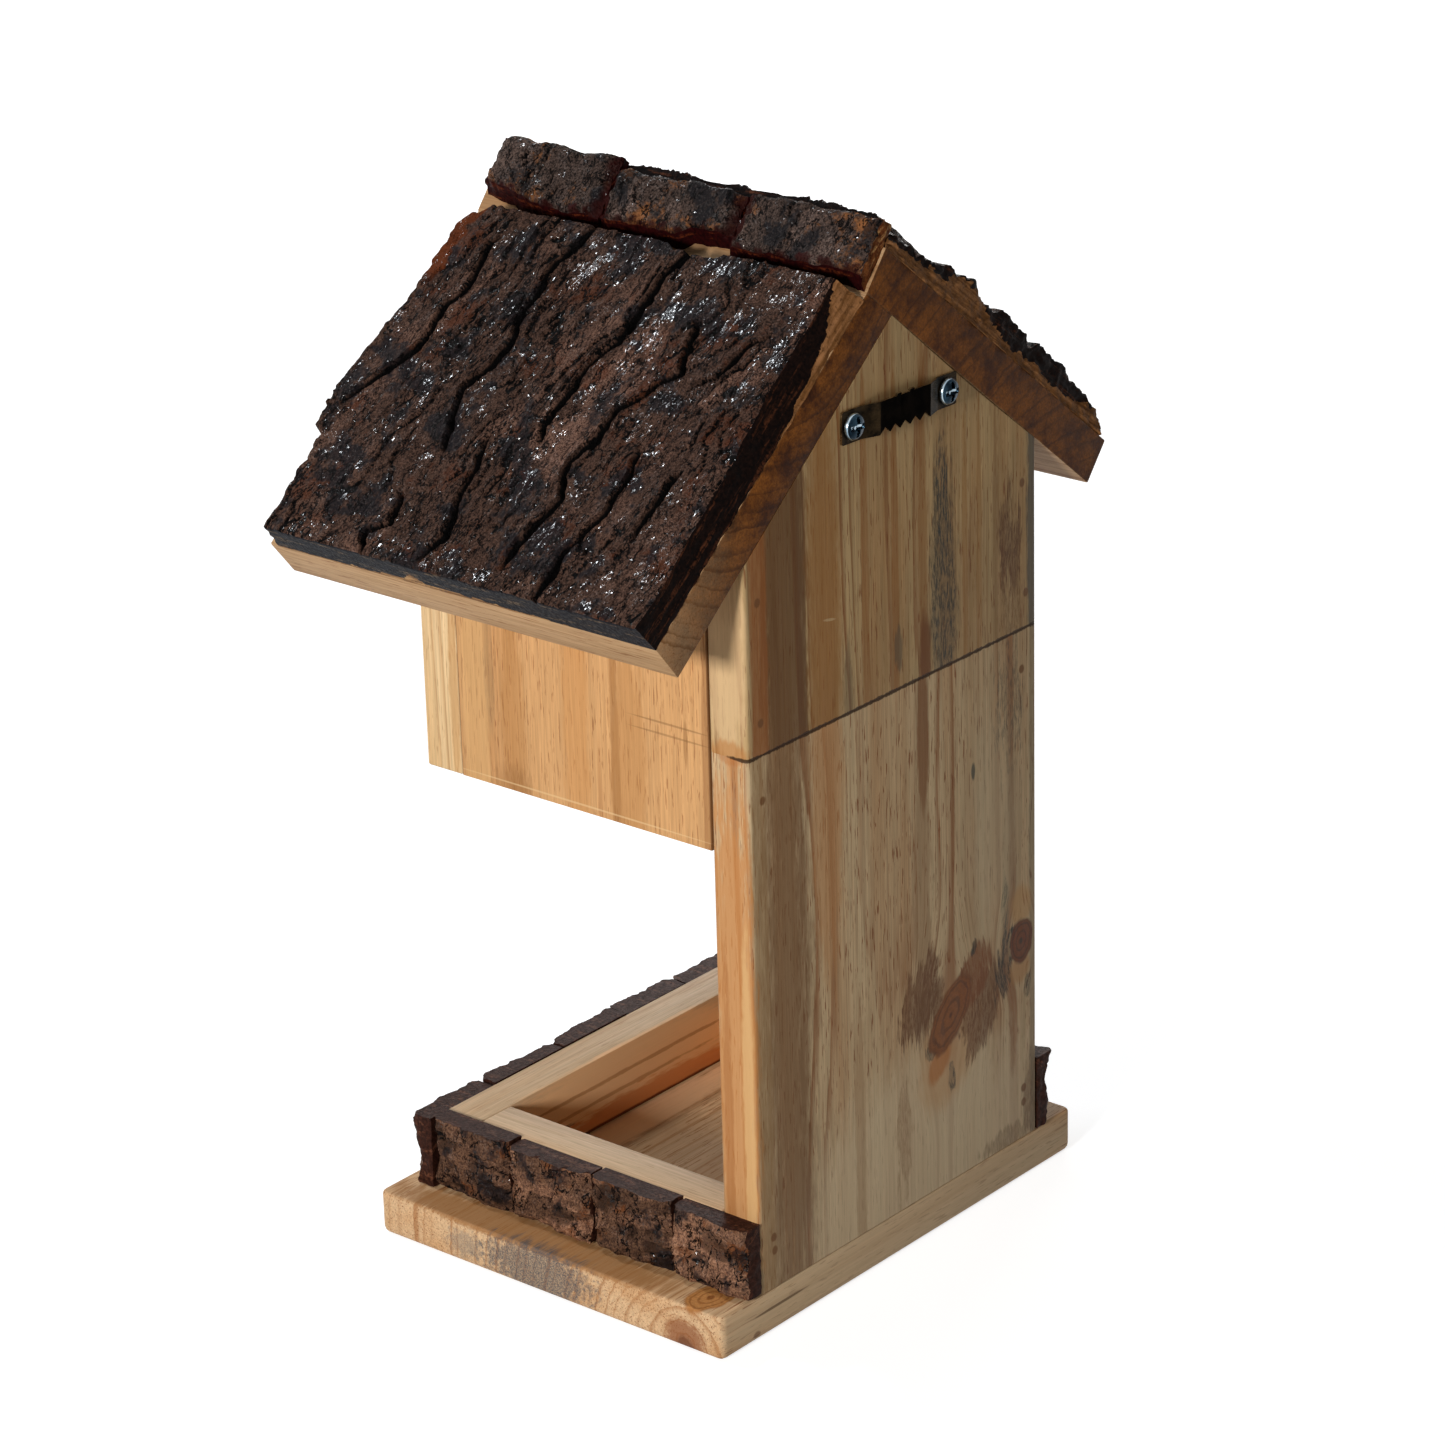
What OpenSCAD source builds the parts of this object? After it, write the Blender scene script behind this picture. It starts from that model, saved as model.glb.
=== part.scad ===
// Hanging bird feeder: a pine hood on a tall back board, over an open seed tray,
// with bark slabs on the roof, bark strips round the tray and a sawtooth hanger behind.
// Millimetres, +Z up. The origin is the centre of the base board's underside.
// The open front looks to -Y, the back board and its hanger to +Y.

/* [Boards] */
// Thickness of the wall boards and tray rails
board_t = 14; // [10:0.5:20]
// Thickness of the base board
base_t = 14.5; // [10:0.5:20]
// Thickness of the roof boards
roof_t = 14.3; // [10:0.1:20]
// Width of the back board and of the hood
wall_w = 136.5; // [110:0.5:180]
// How far the base board stands out beyond the walls on each side
base_lip = 18.3; // [14:0.1:30]
// Depth of the base board, back to front
base_d = 136.6; // [130:0.2:170]
// Depth of the hood and tray, from the back face to the front face
hood_d = 124; // [100:1:128]

/* [Heights] */
// Height of the seam between the two back boards
seam_z = 183.9; // [175:0.1:195]
// Height of the hood's lower edge
hood_z = 153.1; // [130:0.1:160]
// Height of the gable's point, under the roof boards
apex_z = 297; // [285:1:330]
// Height of the tray rails above the base board
rail_h = 24; // [16:1:40]

/* [Roof] */
// Slope of both roof boards, in degrees
roof_pitch = 39.1; // [35:0.1:43]
// Length of the roof along the ridge
roof_len = 146.4; // [140:0.2:180]
// Underside of the right roof board, from the gable's point to the eave
eave_right = 124.8; // [110:0.1:140]
// Underside of the left roof board, from the gable's point to the eave
eave_left = 121.7; // [110:0.1:140]

/* [Bark] */
// Thickness of the bark slabs on the roof
roof_bark_t = 9.5; // [6:0.5:14]
// Depth of the fissures between the plates of the roof bark
fissure = 3.2; // [1:0.1:4]
// How far a plate of the roof bark is lifted along a fissure
plate_lift = 1.2; // [0.4:0.1:2]
// Width of the lifted edge of a plate
plate_edge = 11; // [6:1:16]
// Thickness of the bark strip along the ridge
ridge_bark_t = 6; // [4:0.5:9]
// Height of the ridge strip's lower edge above the left roof board's underside
ridge_bark_foot = 2; // [1:0.5:6]
// Thickness of the bark pieces on the tray
tray_bark_t = 8; // [5:0.5:11]
// Gap between neighbouring bark pieces
bark_gap = 0.8; // [0.4:0.1:2]
// Gap between the tray's bark and the base board
bark_lift = 0.8; // [0.4:0.1:3]
// Height of the rolling swells on rough bark
swell = 1; // [0.4:0.1:1.6]
// How much thinner the bark is along its broken rims
rim_drop = 1.4; // [0.4:0.1:2]
// How far the natural lower edge of the left roof slab wanders
eave_rag = 5; // [1:0.5:8]
// How far the left roof slab ends above the eave of its board
eave_bare = 3; // [1:0.5:8]
// How far the lower edges of the tray and ridge bark wander
foot_rag = 1.6; // [0.4:0.1:3]

/* [Hanger] */
// Length of the sawtooth strip
hanger_l = 53; // [50:1:60]
// Width of the sawtooth strip
hanger_h = 9.8; // [8:0.2:14]
// Thickness of the sawtooth strip
hanger_t = 0.8; // [0.6:0.1:1.5]
// Length of its raised middle
hanger_mid = 23; // [20:1:26]
// How far the middle stands off the back board
hanger_rise = 2; // [1.5:0.1:4]
// Drop from the gable's point to the middle of the strip
hanger_drop = 27.8; // [25:0.2:32]
// Sideways place of the strip from the middle of the back board
hanger_x = -2.2; // [-4:0.1:4]
// Tilt of the strip, as it was screwed on by hand, in degrees
hanger_tilt = -1.8; // [-3:0.1:3]
// Depth of the teeth
tooth_depth = 1.9; // [1:0.1:3]

/* [Fasteners] */
// Distance between the two hanger screws
screw_gap = 43.8; // [40:0.2:46]
// Diameter of a hanger screw's shank
screw_d = 3.5; // [2.5:0.1:4]
// Length of a hanger screw's shank
screw_l = 12; // [8:0.5:13]
// Diameter of a hanger screw's head
head_d = 8; // [6:0.1:9]
// Height of a hanger screw's head
head_h = 2.5; // [1.5:0.1:4]
// Diameter of the panel pins
pin_d = 1.4; // [1:0.1:2]
// How far the pins go into the second board
pin_grip = 11; // [6:1:14]
// How deep the pins are punched below the surface
pin_sink = 0.6; // [0.2:0.1:1.5]
// Radial clearance round pins and screws
hole_clear = 0.05; // [0.02:0.01:0.2]

/* [Hidden] */
$fn = 48;

pine = "#d9ab6c";
end_grain = "#a9743f";
bark = "#3b2a22";
ridge_red = "#4a241c";
steel = "#7d7a74";
zinc = "#c3ccd6";

// Planes that the pieces share
back_y = base_d / 2;
hood_y = back_y - hood_d;
roof_front_y = back_y - roof_len;
wall_x = wall_w / 2;
base_w = wall_w + 2 * base_lip;
shoulder_z = apex_z - wall_x * tan(roof_pitch);
panel_l = hood_d - 2 * board_t;
panel_mid_x = wall_x - board_t / 2;
// The left roof board runs past the gable's point, over the end of the right one
lap = roof_t / sin(2 * roof_pitch);
right_top = roof_t / tan(2 * roof_pitch);

// Heights of the pins that hold the side panels, between the board edges they pass
pin_rows = [
    (hood_z + seam_z) / 2,
    seam_z + (shoulder_z - seam_z) / 6,
    seam_z + (shoulder_z - seam_z) * 4 / 5
];
// Shares of a rail's height where its end pins sit
rail_pin_rows = [0.5, 0.72];
pin_l = board_t - pin_sink + pin_grip;
base_nail_l = base_t - pin_sink + pin_grip;
roof_nail_l = roof_t - pin_sink + pin_grip;
// Shares of the slope where the roof nails sit
roof_nail_rows = [0.22, 0.5];

// Teeth along the hanger's lower edge, and the ramps from its raised middle almost to the screw heads
teeth = 5;
tooth_pitch = hanger_mid / teeth;
head_clear = 0.4;
ramp = (screw_gap - head_d - hanger_mid) / 2 - head_clear;
nib_w = 2;
nib_h = 0.7;
cut = 1;

// Rows of bark pieces round the tray
side_pieces = 4;
front_pieces = 5;
side_step = hood_d / side_pieces;
front_row_w = wall_w + 2 * tray_bark_t;
front_step = front_row_w / front_pieces;
// Ridge strip: its three lengths meet at these shares of the roof's length, from the back
ridge_joins = [0, 0.34, 0.675, 1];
// The ridge strip starts this far from the back end of the roof
ridge_bare = 3;
ridge_bark_w = roof_t + roof_bark_t * 0.8 - ridge_bark_foot;
// The right slab starts clear of the ridge strip
right_bark_top = right_top + ridge_bark_t * cos(2 * roof_pitch) + bark_gap;

// Rolling wave between -1 and 1 over two lengths in millimetres
function ripple(p, q, seed) =
    (sin(9 * p + 4 * q + 77 * seed) + sin(5 * p - 8 * q + 131 * seed)
    + sin(14 * p + 11 * q + 29 * seed)) / 3;

// Lines on the roof bark. A point gives a share of the slope, down from the gable's point,
// and a share of the roof's length, from the back.
right_front = [
    [0.04, 0.955], [0.09, 0.974], [0.28, 0.972], [0.48, 1.004], [0.66, 1.014],
    [0.7, 1.01], [0.72, 0.98], [0.86, 0.978], [1, 0.972]
];
left_front = [
    [-0.12, 0.99], [0.08, 0.974], [0.25, 0.993], [0.4, 0.98], [0.55, 0.997], [0.75, 0.976], [1, 0.99]
];
right_fissures = [
    [[0.12, 0.847], [0.28, 0.852], [0.329, 0.877], [0.409, 0.869], [0.465, 0.88], [0.513, 0.911],
        [0.569, 0.939], [0.633, 0.975]],
    [[0.03, 0.637], [0.107, 0.654], [0.192, 0.671], [0.296, 0.681], [0.365, 0.668], [0.457, 0.682],
        [0.529, 0.714], [0.609, 0.697], [0.689, 0.673]],
    [[0.03, 0.385], [0.12, 0.405], [0.192, 0.413], [0.292, 0.417], [0.381, 0.443], [0.497, 0.476],
        [0.577, 0.477], [0.609, 0.469]],
    [[0.23, 0.273], [0.293, 0.261], [0.365, 0.252], [0.442, 0.298], [0.485, 0.334], [0.569, 0.342],
        [0.649, 0.363], [0.737, 0.345], [0.809, 0.355], [0.871, 0.377], [0.938, 0.38]],
    [[0.633, 0.587], [0.713, 0.578], [0.817, 0.562], [0.897, 0.551], [0.973, 0.573]],
    [[0.821, 0.71], [0.905, 0.69], [0.941, 0.728], [1, 0.71]],
    [[0.572, 0.235], [0.665, 0.221], [0.748, 0.227], [0.861, 0.26], [1, 0.266]],
    [[0.229, 0.107], [0.296, 0.143], [0.356, 0.155], [0.387, 0.212]],
    [[0.606, 0.123], [0.681, 0.133], [0.785, 0.134]]
];
left_fissures = [
    [[-0.099, 0.15], [0.016, 0.137], [0.164, 0.164], [0.312, 0.143], [0.452, 0.184], [0.575, 0.171],
        [0.698, 0.212], [0.822, 0.198], [0.961, 0.225]],
    [[-0.066, 0.355], [0.082, 0.376], [0.197, 0.348], [0.337, 0.389], [0.493, 0.376], [0.608, 0.417],
        [0.723, 0.396]],
    [[0.115, 0.567], [0.247, 0.546], [0.386, 0.587], [0.518, 0.574], [0.657, 0.615], [0.805, 0.594],
        [0.953, 0.635]],
    [[-0.099, 0.71], [0.033, 0.738], [0.181, 0.717], [0.329, 0.758], [0.427, 0.745]],
    [[0.477, 0.792], [0.592, 0.772], [0.723, 0.813], [0.855, 0.799], [0.961, 0.827]],
    [[-0.082, 0.895], [0.099, 0.874], [0.247, 0.915], [0.394, 0.895], [0.542, 0.936], [0.69, 0.922]],
    [[0.247, 0.273], [0.362, 0.253], [0.477, 0.287]],
    [[0.69, 0.492], [0.822, 0.512], [0.92, 0.492]]
];

// Where the fissures of a slab cross one level of the slope, in millimetres from the back
function crossings(fissures, share) = [
    for (line = fissures)
        if (share >= line[0][0] && share <= line[len(line) - 1][0]) roof_len * lookup(share, line)
];

// Lift of a plate beyond the nearest of these crossings, which fades over the width of its edge
function lift(across, crossed) = max(concat(0, [
    for (place = crossed) if (across > place) plate_lift * (1 - (across - place) / plate_edge)
]));

// A strip's own wandering edge, in millimetres, from 0 up to depth
function ragged(p, depth, seed) = depth * (0.5 + 0.5 * ripple(0.9 * p, 0, seed));

// Closed slab on a flat back: a grid of points that stand up from z = 0, with a flat underside.
// place(i, j) gives a grid point's [x, y], height(i, j) how far it stands up.
module rough_slab(rows, cols, place, height) {
    ring = concat(
        [for (j = [0:cols - 1]) [0, j]],
        [for (i = [0:rows - 1]) [i, cols]],
        [for (j = [cols:-1:1]) [rows, j]],
        [for (i = [rows:-1:1]) [i, 0]]
    );
    count = len(ring);
    tops = (rows + 1) * (cols + 1);
    points = concat(
        [for (i = [0:rows], j = [0:cols]) concat(place(i, j), height(i, j))],
        [for (r = ring) concat(place(r[0], r[1]), 0)],
        [concat((place(0, 0) + place(rows, cols)) / 2, 0)]
    );
    function top(i, j) = i * (cols + 1) + j;
    function rim(k) = top(ring[k % count][0], ring[k % count][1]);
    function foot(k) = tops + k % count;
    middle = tops + count;
    polyhedron(points, concat(
        [for (i = [0:rows - 1], j = [0:cols - 1]) [top(i, j), top(i, j + 1), top(i + 1, j)]],
        [for (i = [0:rows - 1], j = [0:cols - 1]) [top(i + 1, j), top(i, j + 1), top(i + 1, j + 1)]],
        [for (k = [0:count - 1]) [rim(k), foot(k), foot(k + 1)]],
        [for (k = [0:count - 1]) [rim(k), foot(k + 1), rim(k + 1)]],
        [for (k = [0:count - 1]) [foot(k + 1), foot(k), middle]]
    ), convexity = 6);
}

// Frames on the two roof slopes: x down the slope from the gable's point, z away from the board
module on_right_slope() {
    translate([0, 0, apex_z]) rotate([0, roof_pitch, 0]) children();
}

module on_left_slope() {
    translate([0, 0, apex_z]) rotate([0, roof_pitch, 180]) children();
}

// A profile in x and z, drawn out along the ridge from the front end of the roof to its back
module along_ridge(outline, front, length) {
    translate([0, front + length, 0]) rotate([90, 0, 0]) linear_extrude(length) polygon(outline);
}

// A round pin or its hole, pointing from the back towards the front
module rod(length, d) {
    rotate([90, 0, 0]) cylinder(h = length, d = d);
}

// Places of the fasteners: each carries the pin itself or, in the boards, its hole
module back_pin_places() {
    for (side = [-1, 1]) {
        for (z = pin_rows) translate([side * panel_mid_x, back_y - pin_sink, z]) children();
        for (share = rail_pin_rows)
            translate([side * panel_mid_x, back_y - pin_sink, base_t + share * rail_h]) children();
    }
}

module front_pin_places() {
    for (side = [-1, 1], z = pin_rows)
        translate([side * panel_mid_x, hood_y + pin_sink, z]) rotate([0, 0, 180]) children();
}

module tray_pin_places() {
    for (side = [-1, 1], share = rail_pin_rows)
        translate([side * panel_mid_x, hood_y + pin_sink, base_t + share * rail_h])
            rotate([0, 0, 180]) children();
}

module base_nail_places() {
    back_row = back_y - board_t / 2;
    front_row = hood_y + board_t / 2;
    for (side = [-1, 1]) {
        for (y = [back_row, front_row]) translate([side * wall_w / 4, y, pin_sink]) children();
        translate([side * panel_mid_x, (back_row + front_row) / 2, pin_sink]) children();
    }
}

module roof_nail_row(eave) {
    for (share = roof_nail_rows, y = [back_y - board_t / 2, hood_y + board_t / 2])
        translate([share * eave, y, roof_t - pin_sink - roof_nail_l]) children();
}

module roof_nail_places() {
    on_right_slope() roof_nail_row(eave_right) children();
    on_left_slope() mirror([0, 1, 0]) roof_nail_row(eave_left) children();
}

module pin_hole(length, extra = 0) {
    translate([0, extra, 0]) rod(length + extra + hole_clear, pin_d + 2 * hole_clear);
}

module nail(length) {
    cylinder(h = length, d = pin_d);
}

module nail_hole(length) {
    translate([0, 0, -pin_sink - cut])
        cylinder(h = length + 2 * (pin_sink + cut), d = pin_d + 2 * hole_clear);
}

module hanger_place() {
    translate([hanger_x, back_y, apex_z - hanger_drop]) rotate([0, hanger_tilt, 0]) children();
}

// Each wall board is a board cut to an outline in x and z, from its front face towards the back
module wall_board(front, outline) {
    translate([0, front + board_t, 0]) rotate([90, 0, 0]) linear_extrude(board_t) polygon(outline);
}

module base_board() {
    color(pine) difference() {
        translate([-base_w / 2, -back_y, 0]) cube([base_w, base_d, base_t]);
        base_nail_places() nail_hole(base_nail_l);
    }
}

module back_lower_board() {
    color(pine) difference() {
        wall_board(back_y - board_t, [
            [-wall_x, base_t], [wall_x, base_t], [wall_x, seam_z], [-wall_x, seam_z]
        ]);
        back_pin_places() pin_hole(pin_l, pin_sink + cut);
        base_nail_places() nail_hole(base_nail_l);
    }
}

// The outline that both gables share, down to a given height
function gable(low) = [
    [-wall_x, low], [wall_x, low], [wall_x, shoulder_z], [0, apex_z], [-wall_x, shoulder_z]
];

module back_gable_board() {
    color(pine) difference() {
        wall_board(back_y - board_t, gable(seam_z));
        back_pin_places() pin_hole(pin_l, pin_sink + cut);
        roof_nail_places() nail_hole(roof_nail_l);
        hanger_place() screw_places() screw_hole();
    }
}

module front_gable_board() {
    color(pine) difference() {
        wall_board(hood_y, gable(hood_z));
        front_pin_places() pin_hole(pin_l, pin_sink + cut);
        roof_nail_places() nail_hole(roof_nail_l);
    }
}

// A side panel fills the space between the gables; its top is bevelled to the roof's slope
module side_panel(side) {
    inner_x = wall_x - board_t;
    inner_top = apex_z - inner_x * tan(roof_pitch);
    color(pine) difference() {
        translate([0, back_y - board_t, 0]) rotate([90, 0, 0]) linear_extrude(panel_l) polygon([
            [side * inner_x, hood_z], [side * wall_x, hood_z],
            [side * wall_x, shoulder_z], [side * inner_x, inner_top]
        ]);
        back_pin_places() pin_hole(pin_l);
        front_pin_places() pin_hole(pin_l);
    }
}

module tray_front_rail() {
    color(pine) difference() {
        translate([-wall_x, hood_y, base_t]) cube([wall_w, board_t, rail_h]);
        tray_pin_places() pin_hole(pin_l, pin_sink + cut);
        base_nail_places() nail_hole(base_nail_l);
    }
}

module tray_side_rail(side) {
    color(pine) difference() {
        translate([side * panel_mid_x - board_t / 2, hood_y + board_t, base_t])
            cube([board_t, panel_l, rail_h]);
        tray_pin_places() pin_hole(pin_l);
        back_pin_places() pin_hole(pin_l);
        base_nail_places() nail_hole(base_nail_l);
    }
}

module roof_board_right() {
    color(end_grain) difference() {
        on_right_slope() along_ridge([
            [0, 0], [eave_right, 0], [eave_right, roof_t], [right_top, roof_t]
        ], roof_front_y, roof_len);
        roof_nail_places() nail_hole(roof_nail_l);
    }
}

module roof_board_left() {
    color(end_grain) difference() {
        on_left_slope() along_ridge([
            [-lap, 0], [eave_left, 0], [eave_left, roof_t], [-lap, roof_t]
        ], -back_y, roof_len);
        roof_nail_places() nail_hole(roof_nail_l);
    }
}

// One bark slab: x runs down the slope and y from the back of the roof towards its front.
// The grid point nearest to a fissure moves onto it and down, so each fissure is one clean groove.
// The plate beyond a fissure is lifted, and the rim of the slab is a little thinner.
// A natural lower edge wanders by end_rag and is lower than the rest by end_drop.
module roof_slab(eave, start, end, end_rag, end_drop, front, fissures) {
    rows = 36;
    cols = 42;
    function share(i) = (start + (end - start) * i / rows) / eave;
    crossed = [for (i = [0:rows]) crossings(fissures, share(i))];
    function step(i) = roof_len * lookup(share(i), front) / cols;
    function stop(j) = end - ragged(j * roof_len / cols, end_rag, 6);
    function down(i, j) = start + (stop(j) - start) * i / rows;
    function near(i, j) = [for (place = crossed[i]) if (abs(place - step(i) * j) < step(i) / 2) place];
    function split(i, j) = j > 0 && j < cols && len(near(i, j)) > 0;
    function depth(i, j) = split(i, j) ? near(i, j)[0] : step(i) * j;
    function drop(i, j) = i == rows ? end_drop : (i == 0 || j == 0 || j == cols) ? rim_drop / 2 : 0;
    rough_slab(rows, cols,
        function(i, j) [down(i, j), depth(i, j)],
        function(i, j) roof_bark_t + lift(depth(i, j), crossed[i]) - drop(i, j)
            - (split(i, j) ? fissure : 0));
}

// The right slab is sawn off flush with the eave of its board
module roof_bark_right() {
    color(bark) on_right_slope() translate([0, back_y, roof_t]) mirror([0, 1, 0])
        roof_slab(eave_right, right_bark_top, eave_right, 0, rim_drop / 2, right_front, right_fissures);
}

// The left slab keeps its natural lower edge, a little above the eave of its board
module roof_bark_left() {
    color(bark) on_left_slope() translate([0, -back_y, roof_t])
        roof_slab(eave_left, -lap, eave_left - eave_bare, eave_rag, fissure, left_front, left_fissures);
}

// One length of the ridge strip, on the upper end of the left roof board.
// Here x climbs the end of the board, y runs from the back to the front, z stands off it.
module ridge_bark(part) {
    rows = 10;
    cols = 16;
    first = ridge_joins[part] * roof_len + (part == 0 ? ridge_bare : bark_gap / 2);
    last = ridge_joins[part + 1] * roof_len - bark_gap / 2;
    function along(j) = first + (last - first) * j / cols;
    function climb(i, j) = ridge_bark_foot
        + ragged(along(j), foot_rag, part) * (1 - i / rows) + ridge_bark_w * i / rows;
    function drop(i, j) = (i == 0 || i == rows || j == 0 || j == cols) ? rim_drop : 0;
    color(ridge_red) on_left_slope() translate([-lap, -back_y, 0]) rotate([0, -90, 0])
        rough_slab(rows, cols,
            function(i, j) [climb(i, j), along(j)],
            function(i, j) ridge_bark_t - swell / 2 - drop(i, j)
                + swell * ripple(climb(i, j), along(j), part + 7));
}

// One bark piece of the tray: x runs along the rail, y up it and z away from it.
// The back and the cut edges are flat, and the weathered outer face is rough.
module tray_piece(length, seed) {
    rows = 9;
    cols = 9;
    height = rail_h - bark_lift;
    function along(i) = bark_gap / 2 + (length - bark_gap) * i / rows;
    function up(i, j) = bark_lift + ragged(along(i), foot_rag, seed) * (1 - j / cols) + height * j / cols;
    function drop(i, j) = (j == 0 || i == 0 || i == rows) ? rim_drop : j == cols ? rim_drop / 3 : 0;
    rough_slab(rows, cols,
        function(i, j) [along(i), up(i, j)],
        function(i, j) tray_bark_t - swell - drop(i, j)
            + swell * ripple(1.6 * along(i), 1.6 * up(i, j), seed));
}

// The side rows run from the back face to the front row, counted from the front
module tray_bark_side(side, place) {
    mirror([side < 0 ? 1 : 0, 0, 0]) color(bark)
        translate([wall_x, hood_y + (place - 1) * side_step, base_t])
            rotate([90, 0, 90]) tray_piece(side_step, 3 * place + side);
}

// The front row covers the ends of the side rows, counted from the right
module tray_bark_front(place) {
    color(bark) translate([front_row_w / 2 - place * front_step, hood_y, base_t])
        rotate([90, 0, 0]) tray_piece(front_step, 5 * place + 2);
}

// Hanger: x along the strip, y off the board and z up. Its middle is pressed out from the board.
module sawtooth_hanger() {
    half = hanger_l / 2;
    mid = hanger_mid / 2;
    low = -hanger_h / 2;
    color(steel) hanger_place() difference() {
        union() {
            translate([0, 0, low]) linear_extrude(hanger_h) polygon([
                [-half, 0], [-mid - ramp, 0], [-mid, hanger_rise], [mid, hanger_rise],
                [mid + ramp, 0], [half, 0], [half, hanger_t], [mid + ramp, hanger_t],
                [mid, hanger_rise + hanger_t], [-mid, hanger_rise + hanger_t],
                [-mid - ramp, hanger_t], [-half, hanger_t]
            ]);
            for (side = [-1, 1])
                translate([side * 1.5 * nib_w - nib_w / 2, hanger_rise, -low])
                    cube([nib_w, hanger_t, nib_h]);
        }
        for (k = [0:teeth - 1])
            translate([-mid + (k + 0.5) * tooth_pitch, hanger_rise + hanger_t + cut, low])
                rotate([90, 0, 0]) linear_extrude(hanger_t + 2 * cut) polygon([
                    [-tooth_pitch / 2, -cut], [-tooth_pitch / 2 + cut / 4, 0], [0, tooth_depth],
                    [tooth_pitch / 2 - cut / 4, 0], [tooth_pitch / 2, -cut]
                ]);
        screw_places() screw_hole();
    }
}

module screw_places() {
    for (side = [-1, 1]) translate([side * screw_gap / 2, hanger_t, 0]) children();
}

module screw_hole() {
    translate([0, cut, 0]) rod(screw_l + cut + hole_clear, screw_d + 2 * hole_clear);
}

// Pan head with a cross recess on a plain shank with a short point
module screw() {
    dome_r = head_d * 0.54 + head_h * 0.2;
    recess_l = head_d * 0.55;
    recess_w = head_d * 0.14;
    recess_floor = head_h * 0.45;
    point_l = screw_d;
    tip_d = screw_d * 0.2;
    rotate([-90, 0, 0]) {
        difference() {
            intersection() {
                cylinder(h = head_h, d = head_d);
                translate([0, 0, head_h - dome_r]) sphere(r = dome_r);
            }
            for (turn = [0, 90]) rotate([0, 0, turn])
                translate([-recess_l / 2, -recess_w / 2, recess_floor]) cube([recess_l, recess_w, head_h]);
        }
        translate([0, 0, point_l - screw_l]) cylinder(h = screw_l - point_l, d = screw_d);
        translate([0, 0, -screw_l]) cylinder(h = point_l, d1 = tip_d, d2 = screw_d);
    }
}

module hanger_screws() {
    color(zinc) hanger_place() screw_places() screw();
}

module back_pins() {
    color(steel) back_pin_places() rod(pin_l, pin_d);
}

module front_pins() {
    color(steel) front_pin_places() rod(pin_l, pin_d);
}

module tray_pins() {
    color(steel) tray_pin_places() rod(pin_l, pin_d);
}

module base_nails() {
    color(steel) base_nail_places() nail(base_nail_l);
}

module roof_nails() {
    color(steel) roof_nail_places() nail(roof_nail_l);
}

base_board();
back_lower_board();
back_gable_board();
front_gable_board();
side_panel(1);  // side_panel_right
side_panel(-1);  // side_panel_left
tray_front_rail();
tray_side_rail(1);  // tray_rail_right
tray_side_rail(-1);  // tray_rail_left
roof_board_right();
roof_board_left();
roof_bark_right();
roof_bark_left();
ridge_bark(0);  // ridge_bark_rear
ridge_bark(1);  // ridge_bark_middle
ridge_bark(2);  // ridge_bark_front
tray_bark_side(1, 1);  // tray_bark_right_1
tray_bark_side(1, 2);  // tray_bark_right_2
tray_bark_side(1, 3);  // tray_bark_right_3
tray_bark_side(1, 4);  // tray_bark_right_4
tray_bark_side(-1, 1);  // tray_bark_left_1
tray_bark_side(-1, 2);  // tray_bark_left_2
tray_bark_side(-1, 3);  // tray_bark_left_3
tray_bark_side(-1, 4);  // tray_bark_left_4
tray_bark_front(1);  // tray_bark_front_1
tray_bark_front(2);  // tray_bark_front_2
tray_bark_front(3);  // tray_bark_front_3
tray_bark_front(4);  // tray_bark_front_4
tray_bark_front(5);  // tray_bark_front_5
sawtooth_hanger();
hanger_screws();
back_pins();
front_pins();
tray_pins();
base_nails();
roof_nails();
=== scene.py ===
import math

import bmesh
import bpy
from mathutils import Matrix, Vector, noise


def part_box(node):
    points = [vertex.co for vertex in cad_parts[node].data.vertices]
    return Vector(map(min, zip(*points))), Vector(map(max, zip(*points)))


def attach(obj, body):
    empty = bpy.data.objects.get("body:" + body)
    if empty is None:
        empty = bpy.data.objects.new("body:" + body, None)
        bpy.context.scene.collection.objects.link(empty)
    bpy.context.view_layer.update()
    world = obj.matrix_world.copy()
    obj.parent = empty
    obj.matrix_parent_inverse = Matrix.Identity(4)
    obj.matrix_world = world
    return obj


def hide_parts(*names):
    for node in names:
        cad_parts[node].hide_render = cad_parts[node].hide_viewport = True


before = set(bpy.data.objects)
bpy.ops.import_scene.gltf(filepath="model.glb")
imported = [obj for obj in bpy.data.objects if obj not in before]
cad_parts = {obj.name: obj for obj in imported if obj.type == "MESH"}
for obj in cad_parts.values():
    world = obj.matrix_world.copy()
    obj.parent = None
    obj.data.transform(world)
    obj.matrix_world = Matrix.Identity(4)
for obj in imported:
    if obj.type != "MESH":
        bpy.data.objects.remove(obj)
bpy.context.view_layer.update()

# Base board: one planed pine plank under the whole feeder, with its grain from side to side.
# Its end grain shows on both short sides, and its lower edges are sanded round.
# The tray's bark and walls stand on it, held by nails from below.


def corners(node_name):
    """Lowest and highest corner of a solid of the part, in millimetres."""
    return [corner * 1000 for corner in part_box(node_name)]


def sawn_board(outline, front, back):
    """A board sawn to an outline in x and z, between two planes across y."""
    bm = bmesh.new()
    face = bm.faces.new([bm.verts.new((x, front, z)) for x, z in outline])
    drawn = bmesh.ops.extrude_face_region(bm, geom=[face])["geom"]
    moved = [item for item in drawn if isinstance(item, bmesh.types.BMVert)]
    bmesh.ops.translate(bm, vec=(0, back - front, 0), verts=moved)
    bmesh.ops.recalc_face_normals(bm, faces=bm.faces)
    return bm


def oblong(low, high):
    return [(low.x, low.z), (high.x, low.z), (high.x, high.z), (low.x, high.z)]


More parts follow.
